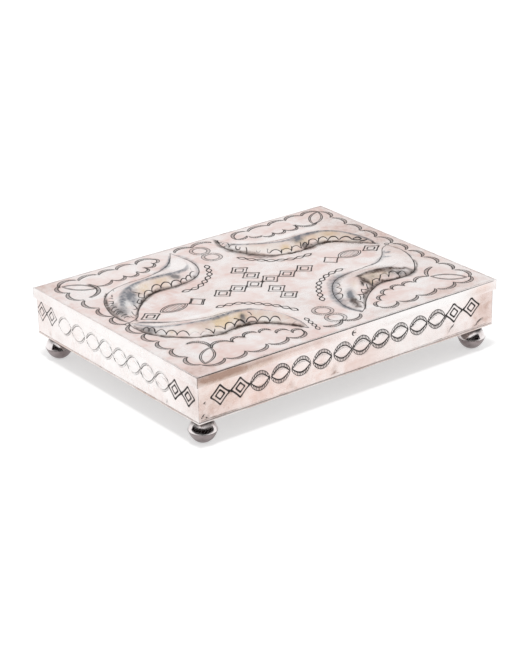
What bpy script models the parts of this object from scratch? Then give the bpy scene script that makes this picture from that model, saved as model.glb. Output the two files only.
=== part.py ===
"""Low silver box: hinged lid with four raised leaves, sheet walls, four ball feet.

Metres, +Z up. The box stands on z = 0 with its long side along X and its front at -Y.
The origin lies under the middle of everything that the box reaches, hinge and bead included.
"""
import math

import bmesh
import bpy
import numpy as np

MM = 0.001

# Overall sizes
lid_length = 159.0 * MM
lid_width = 120.0 * MM
foot_height = 11.0 * MM
case_height = 20.1 * MM

# Sheet thicknesses
lid_plate_thickness = 1.2 * MM
rim_thickness = 0.75 * MM
wall_thickness = 0.9 * MM
bottom_thickness = 1.0 * MM

# Clearances and overruns
seat_gap = 0.3 * MM
rim_clearance = 0.3 * MM
cut_overrun = 1.0 * MM
union_dip = 0.06 * MM
merge_distance = 0.01 * MM

# Lid rim and its bead
rim_depth = 4.7 * MM
bead_radius = 1.1 * MM
bead_height = 0.7 * MM
bead_drop = 3.0 * MM

# Ball feet
foot_radius = 6.1 * MM
foot_inset = 6.2 * MM
foot_wall = 0.8 * MM
foot_flat_radius = 1.5 * MM

# Hinge along the back
hinge_length = 110.0 * MM
knuckle_count = 5
knuckle_radius = 1.5 * MM
pin_radius = 0.65 * MM
pin_clearance = 0.3 * MM
pin_head_length = 0.5 * MM

# Raised leaves
leaf_height = 3.6 * MM

# The four leaves, station by station from tip to tip: a point of the outer edge and the point of
# the inner edge across from it, as shares of half the lid's length and width from its middle,
# then the height as a share of the full height, and the ridge's place from outer to inner edge
leaf_station_shares = (
    (
        ((-0.879, 0.017), (-0.879, 0.017), (0.00, 0.50)),
        ((-0.887, -0.083), (-0.809, -0.030), (0.08, 0.50)),
        ((-0.871, -0.222), (-0.743, -0.098), (0.20, 0.50)),
        ((-0.813, -0.345), (-0.671, -0.157), (0.48, 0.50)),
        ((-0.716, -0.462), (-0.589, -0.203), (0.80, 0.52)),
        ((-0.608, -0.522), (-0.495, -0.237), (0.95, 0.52)),
        ((-0.476, -0.503), (-0.388, -0.243), (1.00, 0.50)),
        ((-0.375, -0.527), (-0.296, -0.280), (0.98, 0.50)),
        ((-0.305, -0.595), (-0.230, -0.373), (0.86, 0.50)),
        ((-0.258, -0.663), (-0.187, -0.518), (0.70, 0.52)),
        ((-0.225, -0.743), (-0.170, -0.685), (0.34, 0.54)),
        ((-0.192, -0.820), (-0.192, -0.820), (0.00, 0.50)),
    ),
    (
        ((-0.869, 0.030), (-0.869, 0.030), (0.00, 0.50)),
        ((-0.884, 0.148), (-0.798, 0.070), (0.30, 0.50)),
        ((-0.866, 0.290), (-0.745, 0.162), (0.40, 0.50)),
        ((-0.811, 0.460), (-0.677, 0.250), (0.60, 0.50)),
        ((-0.713, 0.583), (-0.597, 0.332), (0.80, 0.48)),
        ((-0.592, 0.633), (-0.501, 0.370), (0.94, 0.50)),
        ((-0.466, 0.640), (-0.394, 0.365), (0.96, 0.54)),
        ((-0.353, 0.670), (-0.292, 0.383), (0.76, 0.60)),
        ((-0.275, 0.717), (-0.207, 0.440), (0.50, 0.64)),
        ((-0.218, 0.777), (-0.147, 0.543), (0.36, 0.62)),
        ((-0.174, 0.847), (-0.119, 0.693), (0.20, 0.56)),
        ((-0.138, 0.917), (-0.138, 0.917), (0.00, 0.50)),
    ),
    (
        ((0.847, 0.097), (0.847, 0.097), (0.00, 0.50)),
        ((0.865, 0.182), (0.807, 0.163), (0.35, 0.50)),
        ((0.852, 0.300), (0.752, 0.238), (0.64, 0.50)),
        ((0.802, 0.433), (0.684, 0.320), (0.88, 0.48)),
        ((0.706, 0.540), (0.599, 0.363), (0.98, 0.47)),
        ((0.593, 0.597), (0.499, 0.342), (1.00, 0.48)),
        ((0.472, 0.613), (0.394, 0.338), (0.87, 0.50)),
        ((0.362, 0.650), (0.294, 0.395), (0.84, 0.50)),
        ((0.276, 0.710), (0.218, 0.490), (0.78, 0.50)),
        ((0.226, 0.783), (0.168, 0.613), (0.48, 0.50)),
        ((0.198, 0.853), (0.148, 0.747), (0.20, 0.50)),
        ((0.181, 0.920), (0.181, 0.920), (0.00, 0.50)),
    ),
    (
        ((0.877, 0.023), (0.877, 0.023), (0.00, 0.50)),
        ((0.896, -0.103), (0.822, -0.017), (0.10, 0.50)),
        ((0.875, -0.233), (0.752, -0.120), (0.22, 0.46)),
        ((0.817, -0.383), (0.664, -0.200), (0.40, 0.42)),
        ((0.723, -0.512), (0.563, -0.213), (0.64, 0.40)),
        ((0.608, -0.535), (0.457, -0.228), (0.76, 0.46)),
        ((0.490, -0.518), (0.352, -0.253), (0.68, 0.50)),
        ((0.389, -0.578), (0.269, -0.330), (0.56, 0.50)),
        ((0.314, -0.647), (0.203, -0.440), (0.47, 0.50)),
        ((0.253, -0.720), (0.158, -0.563), (0.36, 0.50)),
        ((0.203, -0.793), (0.133, -0.703), (0.20, 0.50)),
        ((0.152, -0.840), (0.152, -0.840), (0.00, 0.50)),
    ),
)
leaf_slope_power = 1.3
leaf_end_share = 0.03

# Fineness of the round and curved shapes
foot_steps = 20
foot_arc_points = 7
knuckle_sides = 16
bead_segments = 12
leaf_sections = 20
leaf_spans = 8

# Places worked out from the sizes above
rim_overhang = rim_thickness + rim_clearance
lid_underside = foot_height + case_height
lid_top = lid_underside + lid_plate_thickness
rim_bottom = lid_top - rim_depth
plate_length = lid_length - 2 * rim_overhang
plate_width = lid_width - 2 * rim_overhang
wall_bottom = foot_height + bottom_thickness + seat_gap
wall_top = lid_underside - seat_gap
mitre_setback = seat_gap / math.sqrt(2)
hinge_y = plate_width / 2 + seat_gap + knuckle_radius
rim_to_hinge = hinge_y - lid_width / 2
hinge_z = rim_bottom - math.sqrt((knuckle_radius + seat_gap) ** 2 - rim_to_hinge ** 2)
back_reach = hinge_y + knuckle_radius
front_reach = lid_width / 2 + bead_height
case_y = (front_reach - back_reach) / 2


def clear_scene():
    """Remove every object that the file opened with."""
    for old in list(bpy.data.objects):
        bpy.data.objects.remove(old, do_unlink=True)


def new_collection(name):
    """Make a collection under the scene."""
    made = bpy.data.collections.new(name)
    bpy.context.scene.collection.children.link(made)
    return made


def silver(name, colour, roughness):
    """A Principled material for one kind of silver surface."""
    made = bpy.data.materials.new(name)
    made.use_nodes = True
    shader = made.node_tree.nodes["Principled BSDF"]
    shader.inputs["Base Color"].default_value = (*colour, 1.0)
    shader.inputs["Roughness"].default_value = roughness
    shader.inputs["Metallic"].default_value = 1.0
    return made


clear_scene()
box_parts = new_collection("silver_box")
cutters = new_collection("cutters")
sheet_silver = silver("sheet_silver", (0.80, 0.74, 0.72), 0.35)
polished_silver = silver("polished_silver", (0.84, 0.80, 0.78), 0.15)
tube_silver = silver("tube_silver", (0.72, 0.68, 0.66), 0.30)


def pivot(name, place):
    """An empty that carries the pieces of one body."""
    made = bpy.data.objects.new(name, None)
    made.location = place
    box_parts.objects.link(made)
    return made


case_pivot = pivot("case_pivot", (0.0, case_y, 0.0))
lid_pivot = pivot("lid_pivot", (0.0, case_y + hinge_y, hinge_z))


def place(piece, carrier, position, turn=0.0):
    """Hang a piece on its carrier at a position measured from the middle of the case."""
    piece.parent = carrier
    piece.location = (
        position[0],
        position[1] + case_y - carrier.location.y,
        position[2] - carrier.location.z,
    )
    piece.rotation_euler = (0.0, 0.0, turn)


def add_piece(name, data, material):
    """Put mesh or curve data into the scene as one named piece."""
    piece = bpy.data.objects.new(name, data)
    data.materials.append(material)
    box_parts.objects.link(piece)
    return piece


def mesh_from(name, shape):
    """Turn a bmesh into mesh data with its faces pointing outwards."""
    bmesh.ops.recalc_face_normals(shape, faces=shape.faces)
    data = bpy.data.meshes.new(name)
    shape.to_mesh(data)
    shape.free()
    return data


def block(name, size, material):
    """A plain rectangular plate, centred on its own origin."""
    shape = bmesh.new()
    bmesh.ops.create_cube(shape, size=1.0)
    bmesh.ops.scale(shape, vec=size, verts=shape.verts)
    return add_piece(name, mesh_from(name, shape), material)


def mitred_strip(name, run, reach, thickness, height, material):
    """A strip with 45 degree ends: run long, its outer face at -Y, reach from the middle."""
    half_run = run / 2 - mitre_setback
    outline = (
        (-half_run, -reach),
        (half_run, -reach),
        (half_run - thickness, thickness - reach),
        (thickness - half_run, thickness - reach),
    )
    data = bpy.data.curves.new(name, "CURVE")
    data.dimensions = "2D"
    data.fill_mode = "BOTH"
    data.extrude = height / 2
    line = data.splines.new("POLY")
    line.points.add(len(outline) - 1)
    for point, corner in zip(line.points, outline):
        point.co = (corner[0], corner[1], 0.0, 1.0)
    line.use_cyclic_u = True
    return add_piece(name, data, material)


def strip_frame(prefix, carrier, length, width, thickness, low, high, material):
    """Four mitred strips that close a rectangle: front, right, back and left."""
    sides = (
        ("front", length, width),
        ("right", width, length),
        ("back", length, width),
        ("left", width, length),
    )
    strips = {}
    for quarter, (side, run, across) in enumerate(sides):
        strip = mitred_strip(prefix + "_" + side, run, across / 2, thickness, high - low, material)
        place(strip, carrier, (0.0, 0.0, (low + high) / 2), quarter * math.pi / 2)
        strips[side] = strip
    return strips


def as_mesh(piece):
    """Replace a curve piece by a welded mesh in the same place, so that it can be cut."""
    bpy.context.view_layer.update()
    evaluated = piece.evaluated_get(bpy.context.evaluated_depsgraph_get())
    data = bpy.data.meshes.new_from_object(evaluated)
    shape = bmesh.new()
    shape.from_mesh(data)
    bmesh.ops.remove_doubles(shape, verts=shape.verts, dist=merge_distance)
    bmesh.ops.recalc_face_normals(shape, faces=shape.faces)
    shape.to_mesh(data)
    shape.free()
    name = piece.name
    material = piece.data.materials[0]
    carrier = piece.parent
    where = piece.matrix_world.copy()
    bpy.data.objects.remove(piece, do_unlink=True)
    made = bpy.data.objects.new(name, data)
    if not data.materials:
        data.materials.append(material)
    box_parts.objects.link(made)
    made.parent = carrier
    made.matrix_world = where
    return made


def as_cutter(tool, carrier):
    """Keep a tool out of the finished box."""
    tool.hide_render = True
    tool.display_type = "WIRE"
    tool.parent = carrier
    for home in list(tool.users_collection):
        home.objects.unlink(tool)
    cutters.objects.link(tool)


def boolean(piece, tool, operation):
    """Join a tool to a piece, or cut it away."""
    step = piece.modifiers.new(operation.lower(), "BOOLEAN")
    step.operation = operation
    step.object = tool
    step.solver = "EXACT"


def smooth(piece, angle):
    """Shade a round piece smooth, with edges sharper than the angle kept."""
    piece.data.shade_smooth()
    piece.data.set_sharp_from_angle(angle=angle)


def leaf_steps():
    """Steps along a leaf from tip to tip, which stop just short of both tips."""
    return np.linspace(leaf_end_share, 1.0 - leaf_end_share, leaf_sections + 1)


def smooth_curve(points, steps):
    """Catmull-Rom curve through the points, read at steps that run from 0 to 1."""
    known = np.asarray(points, dtype=float)
    padded = np.vstack((2 * known[0] - known[1], known, 2 * known[-1] - known[-2]))
    place_on = steps * (len(known) - 1)
    span = np.minimum(place_on.astype(int), len(known) - 2)
    t = (place_on - span)[:, None]
    before, start, end, after = (padded[span + step] for step in range(4))
    return 0.5 * (
        2 * start
        + (end - before) * t
        + (2 * before - 5 * start + 4 * end - after) * t ** 2
        + (3 * start - before - 3 * end + after) * t ** 3
    )


def leaf_surface(stations):
    """Plan points and heights of one leaf: rows run along it, columns from outer to inner edge.

    The middle column is the ridge. Both slopes are hollow and fall from it to the edges.
    """
    half_lid = (lid_length / 2, lid_width / 2)
    table = smooth_curve(np.array(stations).reshape(len(stations), -1), leaf_steps())
    outer = table[:, None, 0:2] * half_lid
    inner = table[:, None, 2:4] * half_lid
    lift = np.clip(table[:, None, 4], 0.0, 1.0)
    ridge = table[:, None, 5]
    even = np.linspace(-1.0, 1.0, leaf_spans + 1)[None, :]
    across = np.where(even < 0.0, ridge * (1.0 + even), ridge + (1.0 - ridge) * even)[:, :, None]
    plan = outer * (1.0 - across) + inner * across
    full = leaf_height * lift + union_dip
    return plan, full * (1.0 - np.abs(even)) ** leaf_slope_power - union_dip


def leaf_tool(name, base, floor):
    """One closed mesh with the four leaves: domed tops over base, flat undersides at floor."""
    shape = bmesh.new()
    for stations in leaf_station_shares:
        rings = []
        for row, lift in zip(*leaf_surface(stations)):
            top = [shape.verts.new((x, y, base + z)) for (x, y), z in zip(row, lift)]
            low = [shape.verts.new((row[end][0], row[end][1], floor)) for end in (-1, 0)]
            rings.append(top + low)
        for ring, following in zip(rings, rings[1:]):
            for step in range(len(ring)):
                beyond = (step + 1) % len(ring)
                shape.faces.new((ring[step], ring[beyond], following[beyond], following[step]))
        shape.faces.new(rings[0])
        shape.faces.new(rings[-1])
    return add_piece(name, mesh_from(name, shape), sheet_silver)


def make_lid_plate():
    """The lid's plate, with the four leaves pushed up from below in one thickness of sheet."""
    plate = block("lid_plate", (plate_length, plate_width, lid_plate_thickness), sheet_silver)
    plate_middle = (lid_underside + lid_top) / 2
    place(plate, lid_pivot, (0.0, 0.0, plate_middle))
    raised = leaf_tool("leaves_raised", lid_top, lid_top - lid_plate_thickness / 2)
    hollowed = leaf_tool("leaves_hollowed", lid_underside, lid_underside - cut_overrun)
    for tool, operation in ((raised, "UNION"), (hollowed, "DIFFERENCE")):
        as_cutter(tool, lid_pivot)
        place(tool, lid_pivot, (0.0, 0.0, 0.0))
        boolean(plate, tool, operation)
    return plate


def make_rim():
    """The strip round the lid, with the small round bead raised in the middle of its front."""
    strips = strip_frame(
        "lid_rim", lid_pivot, lid_length, lid_width, rim_thickness, rim_bottom, lid_top, sheet_silver
    )
    front = as_mesh(strips["front"])
    shape = bmesh.new()
    bmesh.ops.create_uvsphere(shape, u_segments=bead_segments, v_segments=bead_segments // 2, radius=1.0)
    bmesh.ops.scale(shape, vec=(bead_radius, bead_height, bead_radius), verts=shape.verts)
    bead = add_piece("bead_raised", mesh_from("bead_raised", shape), sheet_silver)
    as_cutter(bead, lid_pivot)
    place(bead, lid_pivot, (0.0, -lid_width / 2, lid_top - bead_drop))
    boolean(front, bead, "UNION")


def make_case():
    """Four mitred walls standing on the bottom plate, which lies flush under them."""
    strip_frame(
        "wall", case_pivot, plate_length, plate_width, wall_thickness, wall_bottom, wall_top, sheet_silver
    )
    bottom = block("bottom_plate", (plate_length, plate_width, bottom_thickness), sheet_silver)
    place(bottom, case_pivot, (0.0, 0.0, foot_height + bottom_thickness / 2))


def turned_piece(name, profile, steps, material):
    """A profile of (radius, height) points turned round Z."""
    shape = bmesh.new()
    corners = [shape.verts.new((radius, 0.0, height)) for radius, height in profile]
    for start, end in zip(corners, corners[1:]):
        shape.edges.new((start, end))
    data = bpy.data.meshes.new(name)
    shape.to_mesh(data)
    shape.free()
    piece = add_piece(name, data, material)
    turn = piece.modifiers.new("turn", "SCREW")
    turn.steps = steps
    turn.render_steps = steps
    turn.use_merge_vertices = True
    turn.merge_threshold = merge_distance
    turn.use_smooth_shade = True
    return piece


def half_ball(lowest, middle, flat_radius):
    """Profile of a domed half ball as a cup of sheet, its pole below, from its inner pole outwards.

    Both skins are quarter ellipses about the middle height. The pole is cut flat where
    flat_radius is more than zero.
    """
    drop = middle - lowest
    start = math.asin(flat_radius / foot_radius)
    outer_angles = np.linspace(start, math.pi / 2, foot_arc_points)
    true_drop = drop / math.cos(start)
    outer = [(foot_radius * math.sin(a), middle - true_drop * math.cos(a)) for a in outer_angles]
    inner_angles = np.linspace(0.0, math.pi / 2, foot_arc_points - 1)
    inner_drop = drop - foot_wall
    inner_radius = foot_radius - foot_wall
    inner = [(inner_radius * math.sin(a), middle - inner_drop * math.cos(a)) for a in inner_angles]
    return [(0.0, lowest)] + outer + inner[::-1]


def make_foot(corner, side_x, side_y):
    """A ball foot of two domed halves that meet at its widest line."""
    ball_top = foot_height - seat_gap
    middle = ball_top / 2
    lower = turned_piece(
        "foot_" + corner + "_lower",
        half_ball(0.0, middle - seat_gap / 2, foot_flat_radius)[::-1],
        foot_steps,
        polished_silver,
    )
    upper_cup = half_ball(0.0, middle - seat_gap / 2, foot_flat_radius)
    upper = turned_piece(
        "foot_" + corner + "_upper",
        [(radius, ball_top - height) for radius, height in upper_cup],
        foot_steps,
        polished_silver,
    )
    seat = (
        side_x * (plate_length / 2 - foot_inset),
        side_y * (plate_width / 2 - foot_inset),
        0.0,
    )
    place(lower, case_pivot, seat)
    place(upper, case_pivot, seat)


def rod_along_x(name, length, radius, carrier, middle_x, material):
    """A solid round rod on the hinge's line."""
    shape = bmesh.new()
    bmesh.ops.create_cone(
        shape, cap_ends=True, segments=knuckle_sides, radius1=radius, radius2=radius, depth=length
    )
    piece = add_piece(name, mesh_from(name, shape), material)
    place(piece, carrier, (middle_x, hinge_y, hinge_z))
    piece.rotation_euler = (0.0, math.pi / 2, 0.0)
    smooth(piece, math.pi / 6)
    return piece


def make_hinge():
    """Knuckles of tube in turn on the case and on the lid, and the pin that runs through them."""
    pitch = hinge_length / knuckle_count
    length = pitch - seat_gap
    bore_radius = pin_radius + pin_clearance
    for number in range(knuckle_count):
        on_case = number % 2 == 0
        owner = "case" if on_case else "lid"
        carrier = case_pivot if on_case else lid_pivot
        middle_x = (number + 0.5) * pitch - hinge_length / 2
        name = "hinge_knuckle_" + owner + "_" + str(number // 2 + 1)
        knuckle = rod_along_x(name, length, knuckle_radius, carrier, middle_x, tube_silver)
        bore_length = length + 2 * cut_overrun
        bore = rod_along_x(name + "_bore", bore_length, bore_radius, carrier, middle_x, tube_silver)
        as_cutter(bore, carrier)
        boolean(knuckle, bore, "DIFFERENCE")
    pin_length = hinge_length + 2 * pin_head_length
    rod_along_x("hinge_pin", pin_length, pin_radius, case_pivot, 0.0, tube_silver)


make_case()
for corner_name, corner_x, corner_y in (
    ("front_left", -1, -1),
    ("front_right", 1, -1),
    ("back_left", -1, 1),
    ("back_right", 1, 1),
):
    make_foot(corner_name, corner_x, corner_y)
make_lid_plate()
make_rim()
make_hinge()
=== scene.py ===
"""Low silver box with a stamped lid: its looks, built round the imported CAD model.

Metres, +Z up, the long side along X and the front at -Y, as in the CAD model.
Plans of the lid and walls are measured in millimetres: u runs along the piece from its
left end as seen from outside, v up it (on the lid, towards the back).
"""
import math

import bpy
import numpy as np
from mathutils import Matrix, Vector
from mathutils.geometry import delaunay_2d_cdt


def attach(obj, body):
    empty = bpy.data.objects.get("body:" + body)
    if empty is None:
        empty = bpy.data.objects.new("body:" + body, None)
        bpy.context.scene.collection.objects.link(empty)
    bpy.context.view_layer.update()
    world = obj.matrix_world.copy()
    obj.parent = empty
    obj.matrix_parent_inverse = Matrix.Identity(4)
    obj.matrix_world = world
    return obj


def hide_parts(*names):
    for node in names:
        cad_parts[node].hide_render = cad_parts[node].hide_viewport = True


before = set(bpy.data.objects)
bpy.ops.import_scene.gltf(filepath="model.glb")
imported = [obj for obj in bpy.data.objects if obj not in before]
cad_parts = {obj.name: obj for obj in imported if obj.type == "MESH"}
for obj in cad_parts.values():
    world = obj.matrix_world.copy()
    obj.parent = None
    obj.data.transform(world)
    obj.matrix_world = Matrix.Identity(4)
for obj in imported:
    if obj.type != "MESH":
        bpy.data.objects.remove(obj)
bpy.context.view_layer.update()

MM = 0.001
chance = np.random.default_rng(7)

# Sizes of the box, as in the CAD model
lid_length = 159.0
lid_width = 120.0
lid_top = 32.3
plate_thickness = 1.2
rim_thickness = 0.75
rim_depth = 4.7
rim_overhang = 1.05
wall_thickness = 0.9
wall_bottom = 12.3
wall_top = 30.8
bottom_thickness = 1.0
underside = 11.0
middle_y = -0.775
bead_drop = 3.0
bead_radius = 1.1
bead_height = 0.68
foot_radius = 6.1
foot_inset = 6.2
hinge_length = 110.0
knuckle_count = 5
knuckle_radius = 1.5
pin_radius = 0.65
hinge_y = 59.975
hinge_z = 25.9637

# Camera, at the photograph's viewing angle: turned about the lid's middle, shares of the lid's length
camera_azimuth = math.radians(-37.161)
camera_elevation = math.radians(23.398)
camera_roll = math.radians(-0.976)
camera_offset_shares = (-0.01023, -0.1151, 5.71795)
focal_pixels = 2117.8
image_height = 652.0
picture_middle = np.array((261.0, 326.0))
sight_lean = np.array((-math.sin(camera_azimuth), math.cos(camera_azimuth))) / math.tan(camera_elevation)

# Raised leaves of the lid
leaf_height = 3.5
leaf_slope_power = 1.42
crest_softness = 0.07
station_softness = 1.2
tone_spread = 2.4
leaf_points = 61
sight_start = 1.02
sight_steps = 60

# Lines of painted shade and reflection: steps to a station, least half width seen in pixels, shares of the
# half width that hold the one on the sheet, the least one there, and the strength
tone_steps = 4
least_tone_seen = 0.2
tone_band = (0.6, 2.4)
least_tone = 0.12
tone_strength = 1.2

# Stations of each leaf from tip to tip, in millimetres on the lid: u and v of the outer edge and of
# the inner edge across from it, the height's share and the ridge's place between the edges
leaf_tables = {
    "front_left": (
        (9.7, 61.0, 9.7, 61.0, 0.00, 0.50), (9.0, 55.0, 15.2, 58.2, 0.08, 0.50),
        (10.3, 46.7, 20.5, 54.1, 0.20, 0.50), (14.9, 39.3, 26.2, 50.6, 0.48, 0.50),
        (22.6, 32.3, 32.7, 47.8, 0.80, 0.52), (31.2, 28.7, 40.2, 45.8, 0.95, 0.52),
        (41.7, 29.8, 48.7, 45.4, 1.00, 0.50), (49.7, 28.4, 56.0, 43.2, 0.98, 0.50),
        (55.3, 24.3, 61.3, 37.6, 0.86, 0.50), (59.0, 20.2, 64.7, 28.9, 0.70, 0.52),
        (61.7, 15.4, 66.0, 18.9, 0.34, 0.54), (64.3, 10.8, 64.3, 10.8, 0.00, 0.50),
    ),
    "back_left": (
        (10.5, 61.8, 10.5, 61.8, 0.00, 0.50), (9.3, 68.9, 16.1, 64.2, 0.30, 0.50),
        (10.7, 77.4, 20.3, 69.7, 0.40, 0.50), (15.1, 87.6, 25.7, 75.0, 0.60, 0.50),
        (22.9, 95.0, 32.1, 79.9, 0.80, 0.48), (32.5, 98.0, 39.7, 82.2, 0.94, 0.50),
        (42.5, 98.4, 48.2, 81.9, 0.96, 0.54), (51.5, 100.2, 56.3, 83.0, 0.76, 0.60),
        (57.7, 103.0, 63.1, 86.4, 0.50, 0.64), (62.2, 106.6, 67.9, 92.6, 0.36, 0.62),
        (65.7, 110.8, 70.1, 101.6, 0.20, 0.56), (68.6, 115.0, 68.6, 115.0, 0.00, 0.50),
    ),
    "back_right": (
        (146.9, 65.8, 146.9, 65.8, 0.00, 0.50), (148.3, 70.9, 143.7, 69.8, 0.35, 0.50),
        (147.3, 78.0, 139.3, 74.3, 0.64, 0.50), (143.3, 86.0, 133.9, 79.2, 0.88, 0.48),
        (135.7, 92.4, 127.2, 81.8, 0.98, 0.47), (126.7, 95.8, 119.2, 80.5, 1.00, 0.48),
        (117.1, 96.8, 110.9, 80.3, 0.87, 0.50), (108.3, 99.0, 102.9, 83.7, 0.84, 0.50),
        (101.5, 102.6, 96.9, 89.4, 0.78, 0.50), (97.5, 107.0, 92.9, 96.8, 0.48, 0.50),
        (95.3, 111.2, 91.3, 104.8, 0.20, 0.50), (93.9, 115.2, 93.9, 115.2, 0.00, 0.50),
    ),
    "front_right": (
        (149.3, 61.4, 149.3, 61.4, 0.00, 0.50), (150.8, 53.8, 144.9, 59.0, 0.10, 0.50),
        (149.1, 46.0, 139.3, 52.8, 0.22, 0.46), (144.5, 37.0, 132.3, 48.0, 0.40, 0.42),
        (137.0, 29.3, 124.3, 47.2, 0.64, 0.40), (127.9, 27.9, 115.9, 46.3, 0.76, 0.46),
        (118.5, 28.9, 107.5, 44.8, 0.68, 0.50), (110.5, 25.3, 100.9, 40.2, 0.56, 0.50),
        (104.5, 21.2, 95.7, 33.6, 0.47, 0.50), (99.7, 16.8, 92.1, 26.2, 0.36, 0.50),
        (95.7, 12.4, 90.1, 17.8, 0.20, 0.50), (91.6, 9.6, 91.6, 9.6, 0.00, 0.50),
    ),
}


def camera_pose():
    """The camera's three axes as columns (right, up, back) and its eye, in millimetres."""
    a, e, r = camera_azimuth, camera_elevation, camera_roll
    back = np.array((math.sin(a) * math.cos(e), -math.cos(a) * math.cos(e), math.sin(e)))
    right = np.cross((0, 0, 1), back)
    right /= np.linalg.norm(right)
    up = np.cross(back, right)
    rolled_right = math.cos(r) * right + math.sin(r) * up
    rolled_up = math.cos(r) * up - math.sin(r) * right
    turn = np.column_stack((rolled_right, rolled_up, back))
    return turn, turn @ np.array(camera_offset_shares) * lid_length + (0.0, middle_y, lid_top)


def curve_through(points, count):
    """Catmull-Rom curve through the points, read at count even steps from first to last."""
    known = np.asarray(points, dtype=float)
    padded = np.vstack((2 * known[0] - known[1], known, 2 * known[-1] - known[-2]))
    along = np.linspace(0.0, len(known) - 1.0, count)
    span = np.minimum(along.astype(int), len(known) - 2)
    t = (along - span)[:, None]
    before, start, end, after = (padded[span + step] for step in range(4))
    return 0.5 * (
        2 * start
        + (end - before) * t
        + (2 * before - 5 * start + 4 * end - after) * t**2
        + (3 * start - before - 3 * end + after) * t**3
    )


def sideways(line):
    """Unit vectors across a line at each of its points, a quarter turn from the way it runs."""
    run = np.gradient(line, axis=0)
    return np.column_stack((-run[:, 1], run[:, 0])) / np.maximum(np.linalg.norm(run, axis=1), 1e-9)[:, None]


def lengths_along(line):
    """How far each point of a line is from its start, measured along it."""
    return np.concatenate(([0.0], np.cumsum(np.linalg.norm(np.diff(line, axis=0), axis=1))))


def read_at(wanted, lengths, rows):
    """Rows known at some lengths along a line, read at the wanted lengths."""
    return np.column_stack([np.interp(wanted, lengths, column) for column in rows.T])


def circle_points(middle, radius, angles):
    """Points of a circle round a middle at the given angles."""
    return np.array(middle) + radius * np.column_stack((np.cos(angles), np.sin(angles)))


def distance_to_line(places, line):
    """Least distance from each place to a line of straight runs.

    On each run the nearest point is the foot of the perpendicular, held between the run's ends.
    """
    start = line[:-1]
    run = line[1:] - start
    least = np.full(len(places), np.inf)
    for first, step in zip(start, run):
        away = places - first
        share = np.clip(away @ step / max(step @ step, 1e-12), 0.0, 1.0)
        gap = away - share[:, None] * step
        np.minimum(least, np.hypot(gap[:, 0], gap[:, 1]), out=least)
    return least


def inside_outline(places, outline):
    """True where a place lies within a closed outline: a ray from it crosses that an odd number of times."""
    crossings = np.zeros(len(places), dtype=int)
    for (x0, y0), (x1, y1) in zip(outline, np.roll(outline, -1, axis=0)):
        between = (places[:, 1] > y0) != (places[:, 1] > y1)
        rise = y1 - y0 if abs(y1 - y0) > 1e-12 else 1e-12
        meets = x0 + (places[:, 1] - y0) * (x1 - x0) / rise
        crossings += between & (places[:, 0] < meets)
    return crossings % 2 == 1


def leaf_lines(name):
    """A leaf's outer edge, inner edge and ridge from tip to tip, and its lift and ridge share there."""
    even = curve_through(leaf_tables[name], leaf_points)
    outer, inner, lift, ridge = even[:, 0:2], even[:, 2:4], np.clip(even[:, 4], 0.0, 1.0), even[:, 5]
    return outer, inner, outer + (inner - outer) * ridge[:, None], lift, ridge


def leaf_rise(places):
    """Height of the four leaves over the plate.

    With c = (distance to outer edge) / (sum of distances to both edges) and the ridge at c = r,
    a = |c - r| / (r or 1 - r) is 0 on the ridge and 1 at both edges. The rise is full height *
    lift * (1 - soft a) ** power, where soft a is a with its corner at the ridge rounded, and lift
    and r are read at the nearest stations of the leaf.
    """
    rise = np.zeros(len(places))
    for name in leaf_tables:
        outer, inner, crest, lift, ridge = leaf_lines(name)
        outline = np.vstack((outer, inner[-2:0:-1]))
        low, high = outline.min(0) - 2, outline.max(0) + 2
        close = np.flatnonzero(np.all((places > low) & (places < high), axis=1))
        if not len(close):
            continue
        near = places[close]
        within = inside_outline(near, outline)
        close, near = close[within], near[within]
        if not len(close):
            continue
        apart = ((near[:, None, :] - crest[None, :, :]) ** 2).sum(axis=2)
        weight = np.exp((apart.min(axis=1, keepdims=True) - apart) / (2 * station_softness**2))
        weight /= weight.sum(axis=1, keepdims=True)
        to_outer = distance_to_line(near, outer)
        to_inner = distance_to_line(near, inner)
        share = to_outer / np.maximum(to_outer + to_inner, 1e-6)
        middle = weight @ ridge
        across = np.abs(share - middle) / np.where(share < middle, middle, 1.0 - middle)
        corner = math.hypot(1.0, crest_softness) - crest_softness
        soft = (np.sqrt(across**2 + crest_softness**2) - crest_softness) / corner
        rise[close] = leaf_height * (weight @ lift) * np.clip(1.0 - soft, 0.0, 1.0) ** leaf_slope_power
    return rise


def read_field(field, places, cell):
    """The map's value at each place, with straight blending between its cells."""
    at = np.clip(places / cell, 0.0, np.array(field.shape[::-1]) - 1.001)
    low = at.astype(int)
    part = at - low
    x, y = low[:, 0], low[:, 1]
    top = field[y, x] * (1 - part[:, 0]) + field[y, x + 1] * part[:, 0]
    bottom = field[y + 1, x] * (1 - part[:, 0]) + field[y + 1, x + 1] * part[:, 0]
    return top * (1 - part[:, 1]) + bottom * part[:, 1]


leaf_cell = 0.25


def make_leaf_map():
    """The leaves' height over the plate on a fine grid, which lines of sight are followed through."""
    across = np.arange(0.0, lid_length + leaf_cell, leaf_cell)
    up = np.arange(0.0, lid_width + leaf_cell, leaf_cell)
    places = np.stack(np.meshgrid(across, up), axis=-1).reshape(-1, 2)
    return leaf_rise(places).reshape(len(up), len(across))


leaf_map = make_leaf_map()


def on_leaf(places):
    """Where lines of sight through places of the flat lid meet its leaves.

    A point raised by h looks shifted by h / tan(elevation) away from the camera. Each line of
    sight is followed down from over the leaves' full height to the first height that the sheet
    reaches.
    """
    places = np.asarray(places, dtype=float)
    found = np.zeros(len(places))
    still_above = np.ones(len(places), dtype=bool)
    for height in np.linspace(leaf_height * sight_start, 0.0, sight_steps):
        meets = still_above & (read_field(leaf_map, places - height * sight_lean, leaf_cell) >= height)
        found[meets] = height
        still_above &= ~meets
    return places - found[:, None] * sight_lean


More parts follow.
